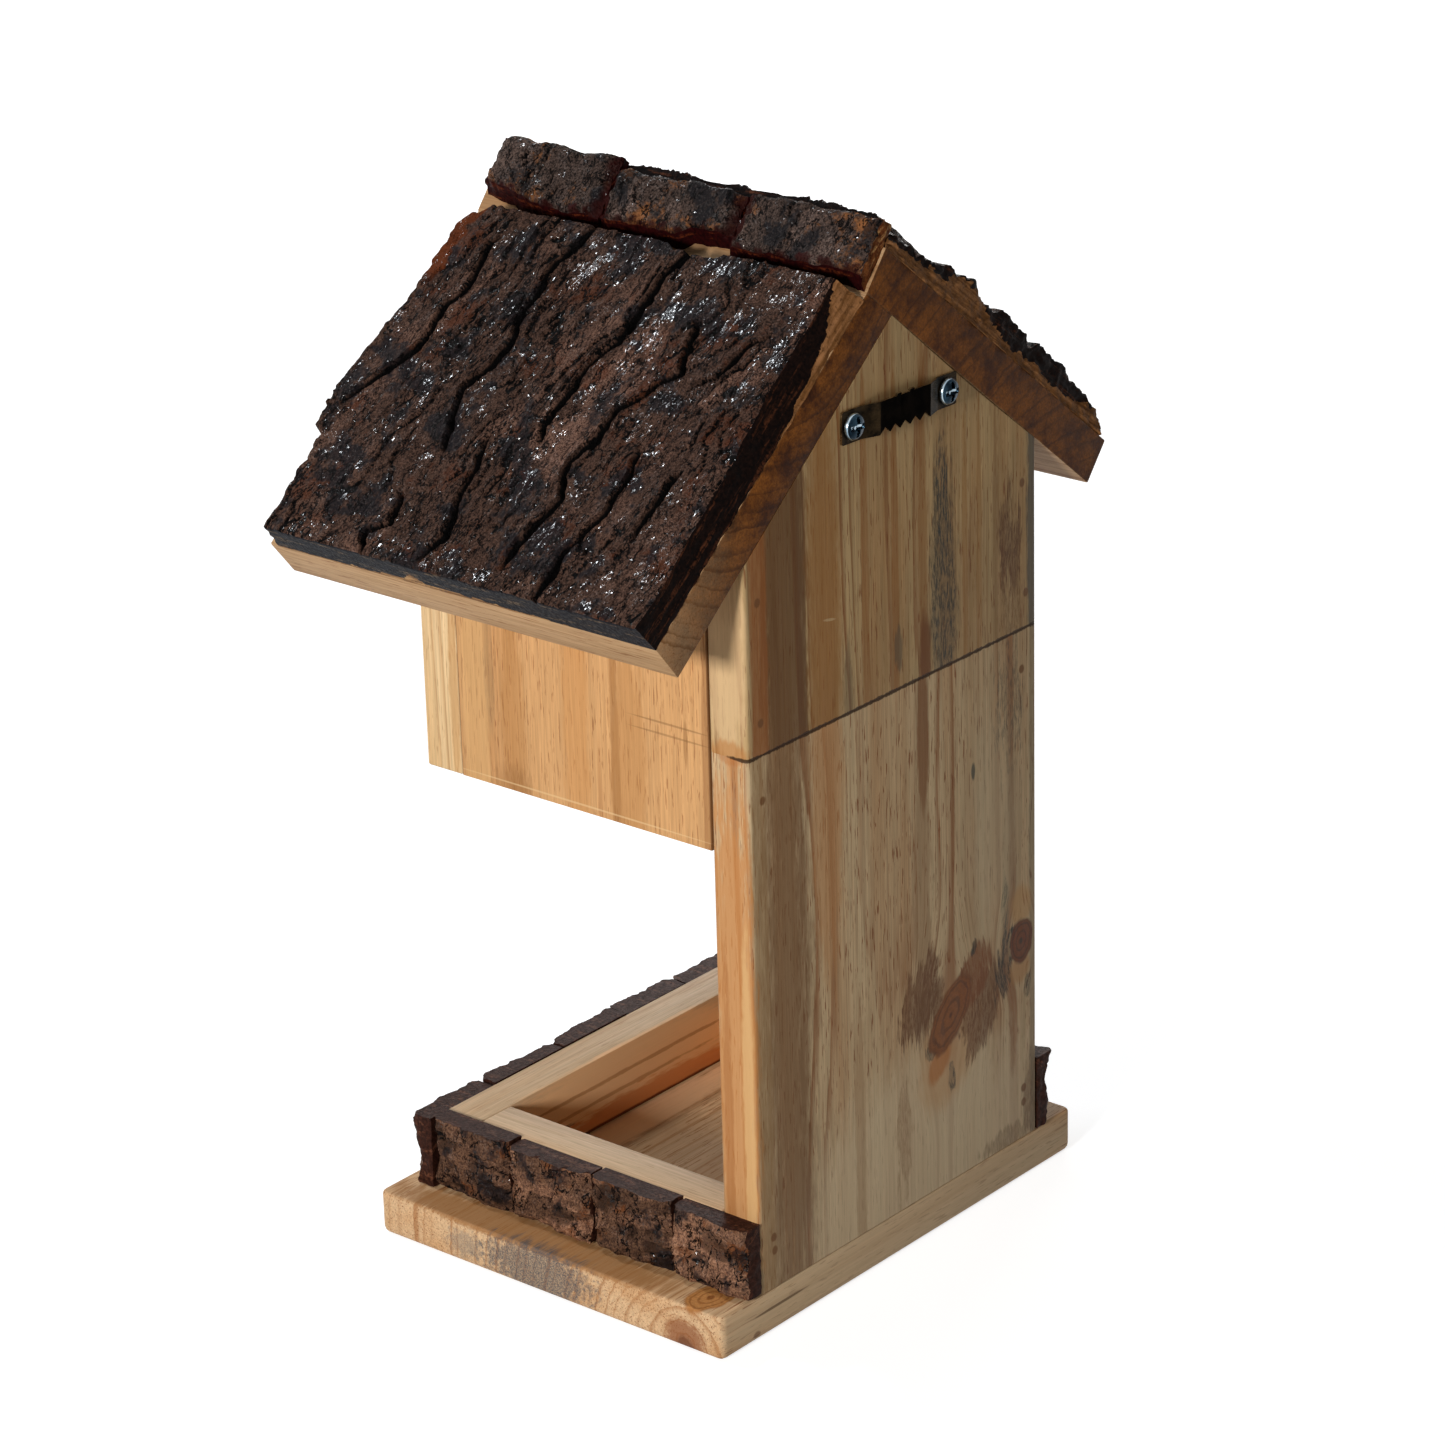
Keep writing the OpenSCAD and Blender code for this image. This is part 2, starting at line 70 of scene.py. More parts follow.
def ease(bm, width, chosen, steps=3):
    """Sands the arrises that chosen(middle, run) picks to a round of this width."""
    picked = []
    for edge in bm.edges:
        start, end = (vert.co for vert in edge.verts)
        run = (end - start).normalized()
        if chosen((start + end) / 2, run):
            picked.append(edge)
    bmesh.ops.bevel(bm, geom=picked, offset=width, offset_type="OFFSET", segments=steps,
                    profile=0.5, affect="EDGES", material=-1, clamp_overlap=True)


def piece_of(bm, name, finishes, sharp_angle=32):
    """Turns a mesh in millimetres into a piece of the feeder, riding on its one body."""
    bmesh.ops.scale(bm, vec=(0.001, 0.001, 0.001), verts=bm.verts)
    mesh = bpy.data.meshes.new(name)
    bm.to_mesh(mesh)
    bm.free()
    mesh.shade_smooth()
    mesh.set_sharp_from_angle(angle=math.radians(sharp_angle))
    for finish in finishes:
        mesh.materials.append(finish)
    piece = bpy.data.objects.new(name, mesh)
    bpy.context.scene.collection.objects.link(piece)
    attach(piece, "root")
    return piece


def paint(code):
    """A colour written as six hexadecimal digits, as the shader wants it."""
    shares = [int(code[i:i + 2], 16) / 255 for i in (0, 2, 4)]
    return tuple(s / 12.92 if s <= 0.04045 else ((s + 0.055) / 1.055) ** 2.4 for s in shares) + (1,)


# The shader tree on the bench: the next helpers add their nodes to it
bench = {}


def fit(socket, value):
    """Joins a socket to the one that feeds it, or sets it to a plain value."""
    if isinstance(value, bpy.types.NodeSocket):
        bench["tree"].links.new(value, socket)
    else:
        socket.default_value = value


def node(kind, sockets=None, **settings):
    made = bench["tree"].nodes.new("ShaderNode" + kind)
    for key, value in settings.items():
        setattr(made, key, value)
    for key, value in (sockets or {}).items():
        fit(made.inputs[key], value)
    return made


def vector_of(operation, first, second=(0, 0, 0)):
    return node("VectorMath", {0: first, 1: second}, operation=operation).outputs[0]


def length_of(vector):
    return node("VectorMath", {0: vector}, operation="LENGTH").outputs["Value"]


def stretched(vector, scale):
    return vector_of("MULTIPLY", vector, scale)


def turned(vector, angle):
    return node("VectorRotate", {"Vector": vector, "Angle": angle}, rotation_type="Y_AXIS").outputs[0]


def speckle(vector, scale, detail=2.0, rough=0.5, out=0):
    """Noise between 0 and 1 with its own stretch along each axis; output 1 gives three noises at once."""
    sockets = {"Vector": stretched(vector, scale), "Scale": 1.0, "Detail": detail, "Roughness": rough}
    return node("TexNoise", sockets).outputs[out]


def math_of(operation, first, second=0.0, third=0.0):
    return node("Math", {0: first, 1: second, 2: third}, operation=operation).outputs[0]


def times(first, second):
    return math_of("MULTIPLY", first, second)


def between(value, low, high, start=0.0, end=1.0):
    """Smooth step of a value from one level to another."""
    sockets = {"Value": value, "From Min": low, "From Max": high, "To Min": start, "To Max": end}
    return node("MapRange", sockets, interpolation_type="SMOOTHSTEP").outputs[0]


def tinted(share, under, over, way="MIX"):
    return node("Mix", {0: share, 6: under, 7: over}, data_type="RGBA", blend_type=way).outputs[2]


def shaded(colour, value):
    """A colour made darker or lighter by a value."""
    return tinted(1.0, colour, node("CombineXYZ", {0: value, 1: value, 2: value}).outputs[0], "MULTIPLY")


def new_group(name, takes, gives):
    """An empty shader node group on the bench, from its inputs' defaults and its outputs' kinds."""
    group = bpy.data.node_groups.new(name, "ShaderNodeTree")
    for label, default in takes.items():
        kind = {3: "Vector", 4: "Color"}[len(default)] if isinstance(default, tuple) else "Float"
        socket = group.interface.new_socket(name=label, in_out="INPUT", socket_type="NodeSocket" + kind)
        socket.default_value = default
    for label, kind in gives.items():
        group.interface.new_socket(name=label, in_out="OUTPUT", socket_type="NodeSocket" + kind)
    bench["tree"] = group
    return group, group.nodes.new("NodeGroupInput").outputs, group.nodes.new("NodeGroupOutput").inputs


def placed(group, **values):
    """A shader group set in the tree on the bench."""
    return node("Group", values, node_tree=group)


def new_finish(name):
    """A new material on the bench, with its shader's sockets and the place on the piece in millimetres."""
    made = bpy.data.materials.new(name)
    made.use_nodes = True
    bench["tree"] = made.node_tree
    in_mm = stretched(node("TexCoord").outputs["Object"], (1000, 1000, 1000))
    return made, made.node_tree.nodes["Principled BSDF"].inputs, in_mm


def finished(shader, colour, rough, relief, strength, depth, gloss):
    """Joins colour, roughness and relief to a shader and sets its plain gloss."""
    fit(shader["Base Color"], colour)
    fit(shader["Roughness"], rough)
    fit(shader["Normal"], node("Bump", {"Height": relief, "Strength": strength, "Distance": depth}).outputs[0])
    shader["Specular IOR Level"].default_value = gloss


# Pine as a solid: yearly rings round a pith, so that ends show arcs and faces show long streaks
pine_grain, taken, given = new_group("pine grain", {
    "Place": (0, 0, 0), "Pith": (30, 60, 0), "Ring": 5.0, "Pale": (0.6, 0.4, 0.2, 1), "Warm": (0.5, 0.3, 0.12, 1),
    "Late": (0.4, 0.2, 0.08, 1), "Rings": 0.5, "Bands": 0.7, "Dashes": 0.6, "Streaks": 0.4,
}, {"Color": "Color", "Fibre": "Float", "Late": "Float"})
place = taken["Place"]
sway = vector_of("SUBTRACT", speckle(place, (0.013, 0.013, 0.0035), 2.0, out=1), (0.5, 0.5, 0.5))
core = vector_of("SUBTRACT", place, taken["Pith"])
core = vector_of("ADD", core, stretched(sway, (16, 16, 0)))
fuzz = speckle(place, (0.35, 0.35, 0.012), 2.0)
radius = math_of("MULTIPLY_ADD", fuzz, 1.6, length_of(stretched(core, (1, 1, 0))))
years = math_of("DIVIDE", radius, taken["Ring"])
uneven = node("TexNoise", {"W": years, "Scale": 0.6, "Detail": 1.0}, noise_dimensions="1D").outputs[0]
season = math_of("FRACT", math_of("MULTIPLY_ADD", uneven, 1.4, years))
late_wood = times(between(season, 0.6, 0.94), between(season, 0.95, 1.0, 1.0, 0.0))
late_wood = times(late_wood, between(uneven, 0.3, 0.65, 0.3, 1.0))
streaks = between(speckle(place, (1.1, 1.1, 0.013), 3.0, 0.7), 0.53, 0.66)
bands = between(speckle(place, (0.075, 0.075, 0.0035), 3.0), 0.4, 0.68)
fibre = speckle(place, (1.5, 1.5, 0.04), 4.0, 0.6)
dashes = between(speckle(place, (1.9, 1.9, 0.14), 2.0), 0.61, 0.66)
dark_dash = tinted(0.5, taken["Late"], paint("6a2e10"))
shade = tinted(times(bands, taken["Bands"]), taken["Pale"], taken["Warm"])
shade = tinted(times(streaks, taken["Streaks"]), shade, taken["Late"])
shade = tinted(times(late_wood, taken["Rings"]), shade, taken["Late"])
shade = tinted(times(dashes, taken["Dashes"]), shade, dark_dash)
fit(given["Color"], shaded(shade, between(fibre, 0.25, 0.75, 0.82, 1.12)))
fit(given["Fibre"], fibre)
fit(given["Late"], late_wood)


def out_from_middle(taken):
    """How far a place lies from the middle of a turned oval, where 1 is its rim."""
    off = turned(vector_of("SUBTRACT", taken["Place"], taken["Middle"]), taken["Turn"])
    return length_of(vector_of("DIVIDE", off, taken["Reach"]))


# A stain, knot or streak on a board: a soft oval with frayed edges that follow the fibres
mark_rim = 1.05
wood_mark, taken, given = new_group("wood mark", {
    "Color": (1, 1, 1, 1), "Place": (0, 0, 0), "Fibre": (0, 0, 0), "Middle": (0, 0, 0), "Reach": (1, 1, 1),
    "Turn": 0.0, "Tint": (0, 0, 0, 1), "Strength": 1.0, "Fray": 0.8, "Dots": 0.0, "Start": 0.6,
}, {"Color": "Color"})
frayed = node("TexNoise", {"Vector": taken["Fibre"], "Scale": 1.0, "Detail": 3.0, "Roughness": 0.65}).outputs[0]
frayed = times(math_of("SUBTRACT", frayed, 0.5), taken["Fray"])
mask = between(math_of("ADD", out_from_middle(taken), frayed), taken["Start"], mark_rim, 1.0, 0.0)
dots = between(speckle(taken["Fibre"], (3.2, 3.2, 3.2), 3.0, 0.7), 0.42, 0.62)
dots = times(math_of("SUBTRACT", 1.0, dots), taken["Dots"])
mask = times(times(mask, math_of("SUBTRACT", 1.0, dots)), taken["Strength"])
fit(given["Color"], tinted(mask, taken["Color"], taken["Tint"]))

# Round a knot the fibres part: places near its middle are drawn towards it before the grain is read
knot_bend, taken, given = new_group("fibres round a knot", {
    "Place": (0, 0, 0), "Middle": (0, 0, 0), "Reach": (1, 1, 1),
}, {"Place": "Vector"})
off = vector_of("SUBTRACT", taken["Place"], taken["Middle"])
pull = between(length_of(vector_of("DIVIDE", off, taken["Reach"])), 0.6, 3.2, 0.75, 0.0)
drawn_in = node("VectorMath", {0: off, "Scale": pull}, operation="SCALE").outputs[0]
fit(given["Place"], vector_of("SUBTRACT", taken["Place"], stretched(drawn_in, (1, 0, 0))))

# The knot itself: an oval of tight rings round a dark heart, with a darker rim
wood_knot, taken, given = new_group("knot", {
    "Color": (1, 1, 1, 1), "Place": (0, 0, 0), "Middle": (0, 0, 0), "Reach": (1, 1, 1), "Turn": 0.0,
    "Flesh": paint("8f5a34"), "Heart": paint("5a2f18"),
}, {"Color": "Color"})
wobble = speckle(taken["Place"], (0.16, 0.16, 0.16), 3.0, 0.55)
away = math_of("MULTIPLY_ADD", math_of("SUBTRACT", wobble, 0.5), 0.45, out_from_middle(taken))
wave = math_of("SINE", times(away, 19.0))
shade = tinted(between(wave, 0.2, 1.0, 0.0, 0.6), taken["Flesh"], taken["Heart"])
shade = tinted(between(away, 0.04, 0.2, 0.9, 0.0), shade, taken["Heart"])
shade = tinted(between(away, 0.8, 0.97, 0.0, 0.45), shade, taken["Heart"])
rough_flesh = speckle(taken["Place"], (0.9, 0.9, 0.9), 3.0, 0.7)
shade = shaded(shade, between(rough_flesh, 0.3, 0.7, 0.8, 1.15))
fit(given["Color"], tinted(between(away, 0.88, 1.08, 0.95, 0.0), taken["Color"], shade))

# Turns that bring the grain of a board upright for the pattern
GRAIN_TURNS = {"x": (0, -math.pi / 2, 0), "y": (math.pi / 2, 0, 0), "z": (0, 0, 0)}
# Fray, turn, dots and softness of a mark whose row doesn't give them
MARK_HABITS = (0.8, 0, 0, 0.45)


def pine(name, grain, pith, pale, warm, late, ring=5.0, rings=0.5, bands=0.7, dashes=0.6, streaks=0.4, marks=(),
         knots=()):
    """Planed pine. grain is the axis it runs along.

    marks are rows of middle x, y, z, reach along x, y, z, colour and strength, with fray, turn, dots and softness
    where they differ from MARK_HABITS. knots are (middle, reach, turn, flesh, heart).
    """
    made, shader, in_mm = new_finish(name)
    parted = in_mm
    for middle, reach, *_ in knots:
        parted = placed(knot_bend, Place=parted, Middle=middle, Reach=reach).outputs["Place"]
    upright = node("Mapping", {"Vector": parted, "Rotation": GRAIN_TURNS[grain]}).outputs[0]
    body = placed(pine_grain, Place=upright, Pith=pith, Ring=ring, Pale=paint(pale), Warm=paint(warm),
                  Late=paint(late), Rings=rings, Bands=bands, Dashes=dashes, Streaks=streaks)
    body.name = "grain"
    colour = body.outputs["Color"]
    along = stretched(upright, (0.55, 0.55, 0.09))
    for x, y, z, wide, long, tall, tint, strength, *habits in marks:
        fray, turn, dots, soft = (*habits, *MARK_HABITS[len(habits):])
        colour = placed(wood_mark, Color=colour, Place=in_mm, Fibre=along, Middle=(x, y, z), Reach=(wide, long, tall),
                        Tint=paint(tint), Strength=strength, Fray=fray, Turn=math.radians(turn), Dots=dots,
                        Start=mark_rim - soft).outputs["Color"]
    for middle, reach, turn, flesh, heart in knots:
        colour = placed(wood_knot, Color=colour, Place=in_mm, Middle=middle, Reach=reach, Turn=math.radians(turn),
                        Flesh=paint(flesh), Heart=paint(heart)).outputs["Color"]
    fibre = body.outputs["Fibre"]
    finished(shader, colour, between(fibre, 0.2, 0.8, 0.62, 0.46), fibre, 0.25, 0.0004, 0.1)
    return made


low, high = corners("base_board")
bm = sawn_board(oblong(low, high), low.y, high.y)
ease(bm, 2.6, lambda mid, run: mid.z < low.z + 0.1 or abs(run.z) > 0.9, 4)
ease(bm, 1.1, lambda mid, run: mid.z > high.z - 0.01)
base_pine = pine("base pine", "x", (0, 54, 0), "d2af87", "c39669", "9c6638", ring=4.2, rings=0.7, dashes=0.9,
                 marks=[
    # The first mark pales and greys the back edge: painted light thrown up from the floor.
    (0, high.y, 7, 110, 3, 12, "cdb592", 0.6, 0.5), (60, high.y, 8.4, 16, 3, 0.6, "5a4028", 0.8, 0.5),
    (70.5, high.y, 2.7, 2, 3, 1.2, "6b4a30", 0.7), (81, -10, high.z, 11, 70, 2, "96683c", 0.85, 0.9),
    (high.x, -4, 7, 8, 26, 11, "434950", 0.9, 1.6, 0, 0.45, 0.5),
    (high.x, -33, 7, 8, 9, 6, "6e6963", 0.65, 1.8, 0, 0.5, 0.6), (high.x, 54, 3, 9, 9, 8, "8a5535", 0.8, 0.7),
    (high.x, 54, 1, 9, 4, 4, "5f3520", 0.7, 0.8), (20, 0, high.z, 60, 50, 2, "8a6a48", 0.55, 1.2),
    (0, -35, high.z, 70, 8, 2, "f0c89c", 0.85, 0.9), (40, 0, high.z, 14, 32, 2, "5c5f60", 0.75, 1.4),
], knots=[((78, 57, high.z), (9, 6.5, 7), 0, "b47a42", "7d4519")])
base = piece_of(bm, "base_plank", [base_pine])
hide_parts("base_board")

# Lower back board: a tall pine plank with upright grain that stands on the base at the back.
# Its long arrises are sanded round, and it carries a large slanting knot with brown stain beside it.
low, high = corners("back_lower_board")


def upright_arris(mid, run):
    return abs(run.z) > 0.9


back_face = high.y
half_back = high.x
bm = sawn_board(oblong(low, high), low.y, high.y)
ease(bm, 1.5, upright_arris, 4)
ease(bm, 0.25, lambda mid, run: abs(run.z) < 0.5 and (mid.z < low.z + 0.01 or mid.z > high.z - 0.01), 2)


def on_back(x, z, wide, tall, *look):
    """A mark on the back face of a back board."""
    return (x, back_face, z, wide, 9, tall, *look)


seam = high.z
filler = "6b4424"
filled_pins = [(62.4, 229.8), (62.1, 193.7), (62.1, 170.1), (-60.7, 171.1), (-62.8, 195), (-61.2, 230), (61.7, 31.2),
               (61.4, 26.8), (-61.4, 31.5), (-61.3, 26.6)]


def back_marks(face_rows, edge_rows):
    """Marks of a back board: on its face, on its right edge, along the seam and over the filled pins."""
    seam_line = on_back(0, seam, 200, 0.75, "2e1c0f", 0.9, 1.5)
    pin_dots = [on_back(x, z, 1.5, 1.7, filler, 0.85, 0.4) for x, z in filled_pins]
    return [on_back(*row) for row in face_rows] + [(half_back, *row) for row in edge_rows] + [seam_line] + pin_dots


lower_pine = pine("lower back pine", "z", (10, 165, 0), "c8ad86", "b28a61", "8a5630", ring=4.6, rings=0.75,
                  dashes=0.8, marks=back_marks([
    # The first mark pales the lower part of the board: painted light thrown up from the floor.
    (-10, 22, 70, 50, "dfc9a4", 0.55, 0.6), (53, 100, 17, 240, "6b4a2c", 0.72, 1.2, 0, 0, 0.8),
    (46, 95, 2.4, 240, "6b4526", 0.3, 1.5), (33, 165, 9, 70, "b98555", 0.55, 0.9),
    (64, 95, 4, 240, "96764f", 0.5, 0.9), (-12, 166, 3.6, 30, "7b5030", 0.85, 0.5),
    (-11, 112, 5, 60, "8a6644", 0.5, 1.0), (-1, 40, 4.6, 22, "8a6340", 0.6, 2.2, 0, 0.5),
    (20, 40, 3, 60, "9a7550", 0.5, 1.0), (-36, 120, 6, 40, "9c7a55", 0.25, 1.2),
    (-56, 120, 6, 30, "8d7154", 0.3, 1.4), (-46, 125, 16, 60, "cfbd9a", 0.4, 0.9, 0, 0, 0.8),
    (-24, 60, 16, 24, "c09263", 0.6, 0.5, 30), (-19, 57, 5, 9, "b06a30", 0.7, 0.7, 40),
    (-10, 81, 9.5, 15, "694429", 1.0, 1.7, 30, 0.4, 0.25), (-13, 76, 7, 9, "6a482c", 0.7, 1.4, 30, 0.4, 0.3),
    (-41, 67, 9.5, 16, "6b4528", 1.0, 1.7, 32, 0.35, 0.25), (-36, 79, 8, 12, "784421", 0.9, 0.9, 35, 0.2, 0.25),
    (-52, 77, 4.6, 11, "1f2624", 0.95, 2.4, 12, 0.7, 0.2), (-25, 50, 1.5, 6, "2c322f", 0.85, 2.6, 0, 0.6, 0.3),
    (-36, 88, 1.2, 2.6, "232722", 0.9, 2.2, 20, 0.4, 0.3), (-15, 62, 3, 3, "33382f", 0.85, 1.6, 40, 0.5, 0.25),
    (-63, 66, 2, 5, "2c322c", 0.8, 1.8, 10, 0.7, 0.3), (-52, 95, 2, 12, "4a4d42", 0.7, 1.8, 0, 0.8, 0.4),
    (-65, 27, 4.6, 18, "6f5338", 0.8, 1.4, 0, 0.3), (-52, 17, 13, 4.6, "755a3c", 0.65, 2.2, 0, 0.4),
    (-54, 162, 7, 26, "5a5143", 0.65, 2.6, 0, 0.9), (-36.5, 146, 1.2, 3.4, "45463c", 0.85, 0.6),
    (-67, 95, 3, 200, "5f5445", 0.45, 0.9), (-60.4, 94, 6, 8, "b98a55", 0.6, 0.5),
    (-59.5, 73, 6, 6, "b08050", 0.7, 0.5),
], [
    (61, 85, 4, 10, 120, "bd8048", 0.75, 1.3), (58, 60, 4, 2, 70, "9c602f", 0.5, 1.2),
    (65.5, 60, 4, 2.4, 80, "d9b27c", 0.6, 1.0), (61.4, 184, 4, 6, 3, "a8622c", 0.4, 0.8),
]), knots=[
    ((-24.5, back_face, 70.5), (7.4, 9, 14.2), 43, "7f4b25", "482410"),
    ((-60.2, back_face, 82), (6, 9, 7.6), 0, "673418", "1f0d06"),
])
lower_back = piece_of(bm, "lower_back_board", [lower_pine])
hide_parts("back_lower_board")

# Tray rails: three short pine boards on edge, nailed to the base round the seed tray.
# The side rails butt against the front rail; paler and darker orange marks on their inner faces paint light and shade
# inside the tray.
rail_face = -41.7
rail_pine = pine("rail pine", "x", (-90, 20, 0), "ccb190", "c19d76", "a5774a", ring=7.0, rings=0.2, dashes=0.25,
                 streaks=0.1, marks=[(x, rail_face, z, wide, 2.5, tall, *look) for x, z, wide, tall, *look in (
    # Over the front rail's inner face the pale mark is painted light and the orange band above the floor painted
    # shade; the thin dark line at the floor is the joint.
    (0, 28, 75, 16, "efbd8a", 0.85, 0.6), (-14, 17.5, 60, 5, "cc7f47", 0.8, 1.4),
    (0, 14.6, 75, 1.4, "52290f", 0.9, 0.8), (0, 29.5, 75, 0.8, "9c6230", 0.6, 1.6),
    (12, 24, 60, 0.8, "9c6230", 0.55, 1.6), (38, 21, 14, 0.9, "4a2a14", 0.8, 1.2),
)])
side_rail_pine = pine("side rail pine", "y", (20, 90, 0), "d0b391", "c49e77", "a5774a", ring=7.0, rings=0.2,
                      dashes=0.25, streaks=0.1, marks=[
    # On the left rail's inner face the pale mark is painted light and the orange band above the floor painted shade;
    # the thin dark line at the floor is the joint.
    (-54, 10, 22, 2.5, 70, 16, "e9b478", 0.85, 0.7), (-54, 14, 15, 3, 60, 4.5, "c47a34", 0.8, 1.2),
    (-54, 10, 14.5, 3, 70, 1.6, "6b3a18", 0.8, 0.9), (-54, 0, 28, 2.5, 70, 1.0, "9a6534", 0.5, 1.4),
    (54, 10, 18, 2.5, 60, 12, "b8733a", 0.8, 0.7),
])
for name, solid, finish in (("front_rail", "tray_front_rail", rail_pine),
                            ("right_rail", "tray_rail_right", side_rail_pine),
                            ("left_rail", "tray_rail_left", side_rail_pine)):
    low, high = corners(solid)
    bm = sawn_board(oblong(low, high), low.y, high.y)
    ease(bm, 0.6, lambda mid, run: True, 2)
    rail = piece_of(bm, name, [finish])
    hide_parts(solid)

# Upper back board: a second pine plank butted on the lower one at a level seam and cut to the gable.
# Its left slope is planed a little hollow, so a thin dark line shows under that roof board.
PITCH = math.radians(39.1)
APEX = 297
low, high = corners("back_gable_board")
half_wall = high.x
shoulder = APEX - half_wall * math.tan(PITCH)
hollow = 0.7


def gable_outline(foot, sag):
    """Outline of a gable, with its left slope sunk by sag in the middle."""
    left_slope = [(-half_wall * k / 8, APEX - half_wall * k / 8 * math.tan(PITCH) - sag * math.sin(math.pi * k / 8))
                  for k in range(1, 8)]
    return [(-half_wall, foot), (half_wall, foot), (half_wall, shoulder), (0, APEX)] + left_slope + [
        (-half_wall, shoulder)]


bm = sawn_board(gable_outline(low.z, hollow), low.y, high.y)
ease(bm, 1.5, upright_arris, 4)
ease(bm, 0.25, lambda mid, run: abs(run.x) > 0.9 and mid.z < low.z + 0.01, 2)
# Its pine is set darker than the lower board's, partly as painted shade for the dimmer top of the back.
upper_pine = pine("upper back pine", "z", (-40, 150, 0), "b7986b", "9f7446", "7c4a20", ring=4.6, rings=0.8,
                  dashes=0.7, marks=back_marks([
    (51, 215, 13, 110, "593819", 0.78, 1.2), (62, 215, 4.5, 90, "8f5426", 0.75, 0.9),
    (43, 215, 2.4, 110, "5f3f22", 0.6, 0.7), (33, 210, 9, 90, "94632f", 0.7, 0.8),
    (14, 220, 2.2, 80, "8a5726", 0.6, 0.8), (0, 225, 2, 80, "8a5726", 0.65, 0.8),
    (22, 190, 3, 18, "6b5a42", 0.5, 1.4), (-1, 196, 2.4, 8, "4f4636", 0.6, 1.8),
    (-13, 225, 2.6, 70, "855424", 0.6, 0.8), (-13.8, 190, 3.4, 16, "6b3d16", 0.9, 0.7),
    (-23, 208, 7.8, 46, "2c2c27", 0.95, 1.0, 0, 0.6), (-22, 238, 4, 26, "33332d", 0.85, 0.9, 0, 0.75),
    (-33, 215, 1.6, 60, "94632f", 0.5, 0.8), (-40, 215, 1.6, 70, "94632f", 0.45, 0.8),
    (-55, 213, 6, 17, "512c10", 0.9, 2.2, 0, 0.4), (-56, 191, 5.6, 16, "6a4726", 0.7, 2.4, 0, 0.85),
    (-48, 215, 1.6, 60, "7f5a34", 0.5, 0.9), (-67.5, 210, 4.6, 90, "4f4a40", 0.85, 0.9),
    (30.4, 215, 3.4, 0.5, "c8ab7e", 0.6, 0.6, 12),
], [
    (61, 215, 4, 9, 40, "d6b589", 0.65, 0.8), (61.4, 184.6, 4, 8, 5, "ae743c", 0.65, 1.0),
]))
upper_back = piece_of(bm, "upper_back_board", [upper_pine])
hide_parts("back_gable_board")

# Side panels and front gable: golden pine with upright grain, nailed between and against the back boards.
# Panel tops are bevelled to the roof, and all lower edges end level over the open tray.
panel_pine = pine("panel pine", "z", (180, 20, 0), "cd9d6a", "c08d59", "985d30", ring=7.0, rings=0.3, dashes=0.55,
                  streaks=0.1, marks=[(half_wall, y, z, 6, long, tall, *look) for y, z, long, tall, *look in (
    (-35, 180, 6, 80, "d8ae76", 0.35), (-29, 192, 2.4, 24, "8a7352", 0.35, 0.9, 0, 0.4),
    (-20, 175, 5, 50, "a8743f", 0.45, 1.2), (-20, 155, 9, 9, "86592f", 0.5, 1.6, 0, 0.3, 0.7),
    (19, 175, 2, 50, "8f6238", 0.6), (24, 170, 8, 50, "b07c48", 0.5, 1.2), (45.6, 184, 1, 8, "85592f", 0.45, 0.4),
    (53.4, 175, 2.2, 60, "85552e", 0.5, 0.6), (4, 180, 6, 60, "c28a52", 0.5, 1.2),
    (40, 188.5, 18, 0.4, "7d5a36", 0.5, 0.2), (40, 185, 18, 0.4, "7d5a36", 0.45, 0.2),
    (5, 155.4, 60, 0.35, "e2c190", 0.5, 0.2), (-41.7, 190, 0.45, 90, "5a381c", 0.85, 0.2),
    (54.3, 190, 0.5, 90, "5a381c", 0.7, 0.2),
)])
for side, name, solid in ((1, "right_panel", "side_panel_right"), (-1, "left_panel", "side_panel_left")):
    low, high = corners(solid)
    inner = min(abs(low.x), abs(high.x))
    outline = [(side * inner, low.z), (side * half_wall, low.z), (side * half_wall, shoulder), (side * inner, high.z)]
    bm = sawn_board(outline, low.y, high.y)
    ease(bm, 0.4, lambda mid, run: abs(run.z) > 0.9 or mid.z < low.z + 0.01, 2)
    panel = piece_of(bm, name, [panel_pine])
    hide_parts(solid)

low, high = corners("front_gable_board")
bm = sawn_board(gable_outline(low.z, 0), low.y, high.y)
ease(bm, 0.8, lambda mid, run: abs(run.z) > 0.9 or mid.z < low.z + 0.01, 3)
front_pine = pine("front gable pine", "z", (60, -170, 0), "dfc093", "cfa46d", "a3703c", ring=5.5, dashes=0.35,
                  streaks=0.2, marks=[
    (half_wall, -43.5, 185, 3, 2, 60, "b27c3f", 0.5, 1.4), (20, low.y, 190, 4, 20, 90, "a8763f", 0.6),
    (-38, low.y, 210, 8, 20, 70, "b08050", 0.6, 0.9), (52, low.y, 200, 6, 20, 80, "a06c3a", 0.5),
    (-8, low.y, 230, 3, 20, 50, "96622f", 0.5),
] + [(x, low.y, z, 1.5, 4, 1.7, filler, 0.85, 0.4) for x in (-61.25, 61.25) for z in (168.5, 193.5, 230)])
front_gable = piece_of(bm, "front_gable", [front_pine])
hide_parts("front_gable_board")

# Roof boards: two pine planks with their grain along the ridge; the left one laps over the right one's end.
# Their ends show brown, unsealed end grain with ring arcs, and their eaves pale long grain.
BACK = corners("roof_board_right")[1].y
FRONT = corners("roof_board_right")[0].y
ROOF_T = 14.3
EAVE_RIGHT = 124.8
EAVE_LEFT = 121.7
LAP = ROOF_T / math.sin(2 * PITCH)
RIGHT_TOP = ROOF_T / math.tan(2 * PITCH)
right_slope = Matrix.Translation((0, 0, APEX)) @ Matrix.Rotation(PITCH, 4, "Y")
left_slope = Matrix.Translation((0, 0, APEX)) @ Matrix.Rotation(math.pi, 4, "Z") @ Matrix.Rotation(PITCH, 4, "Y")


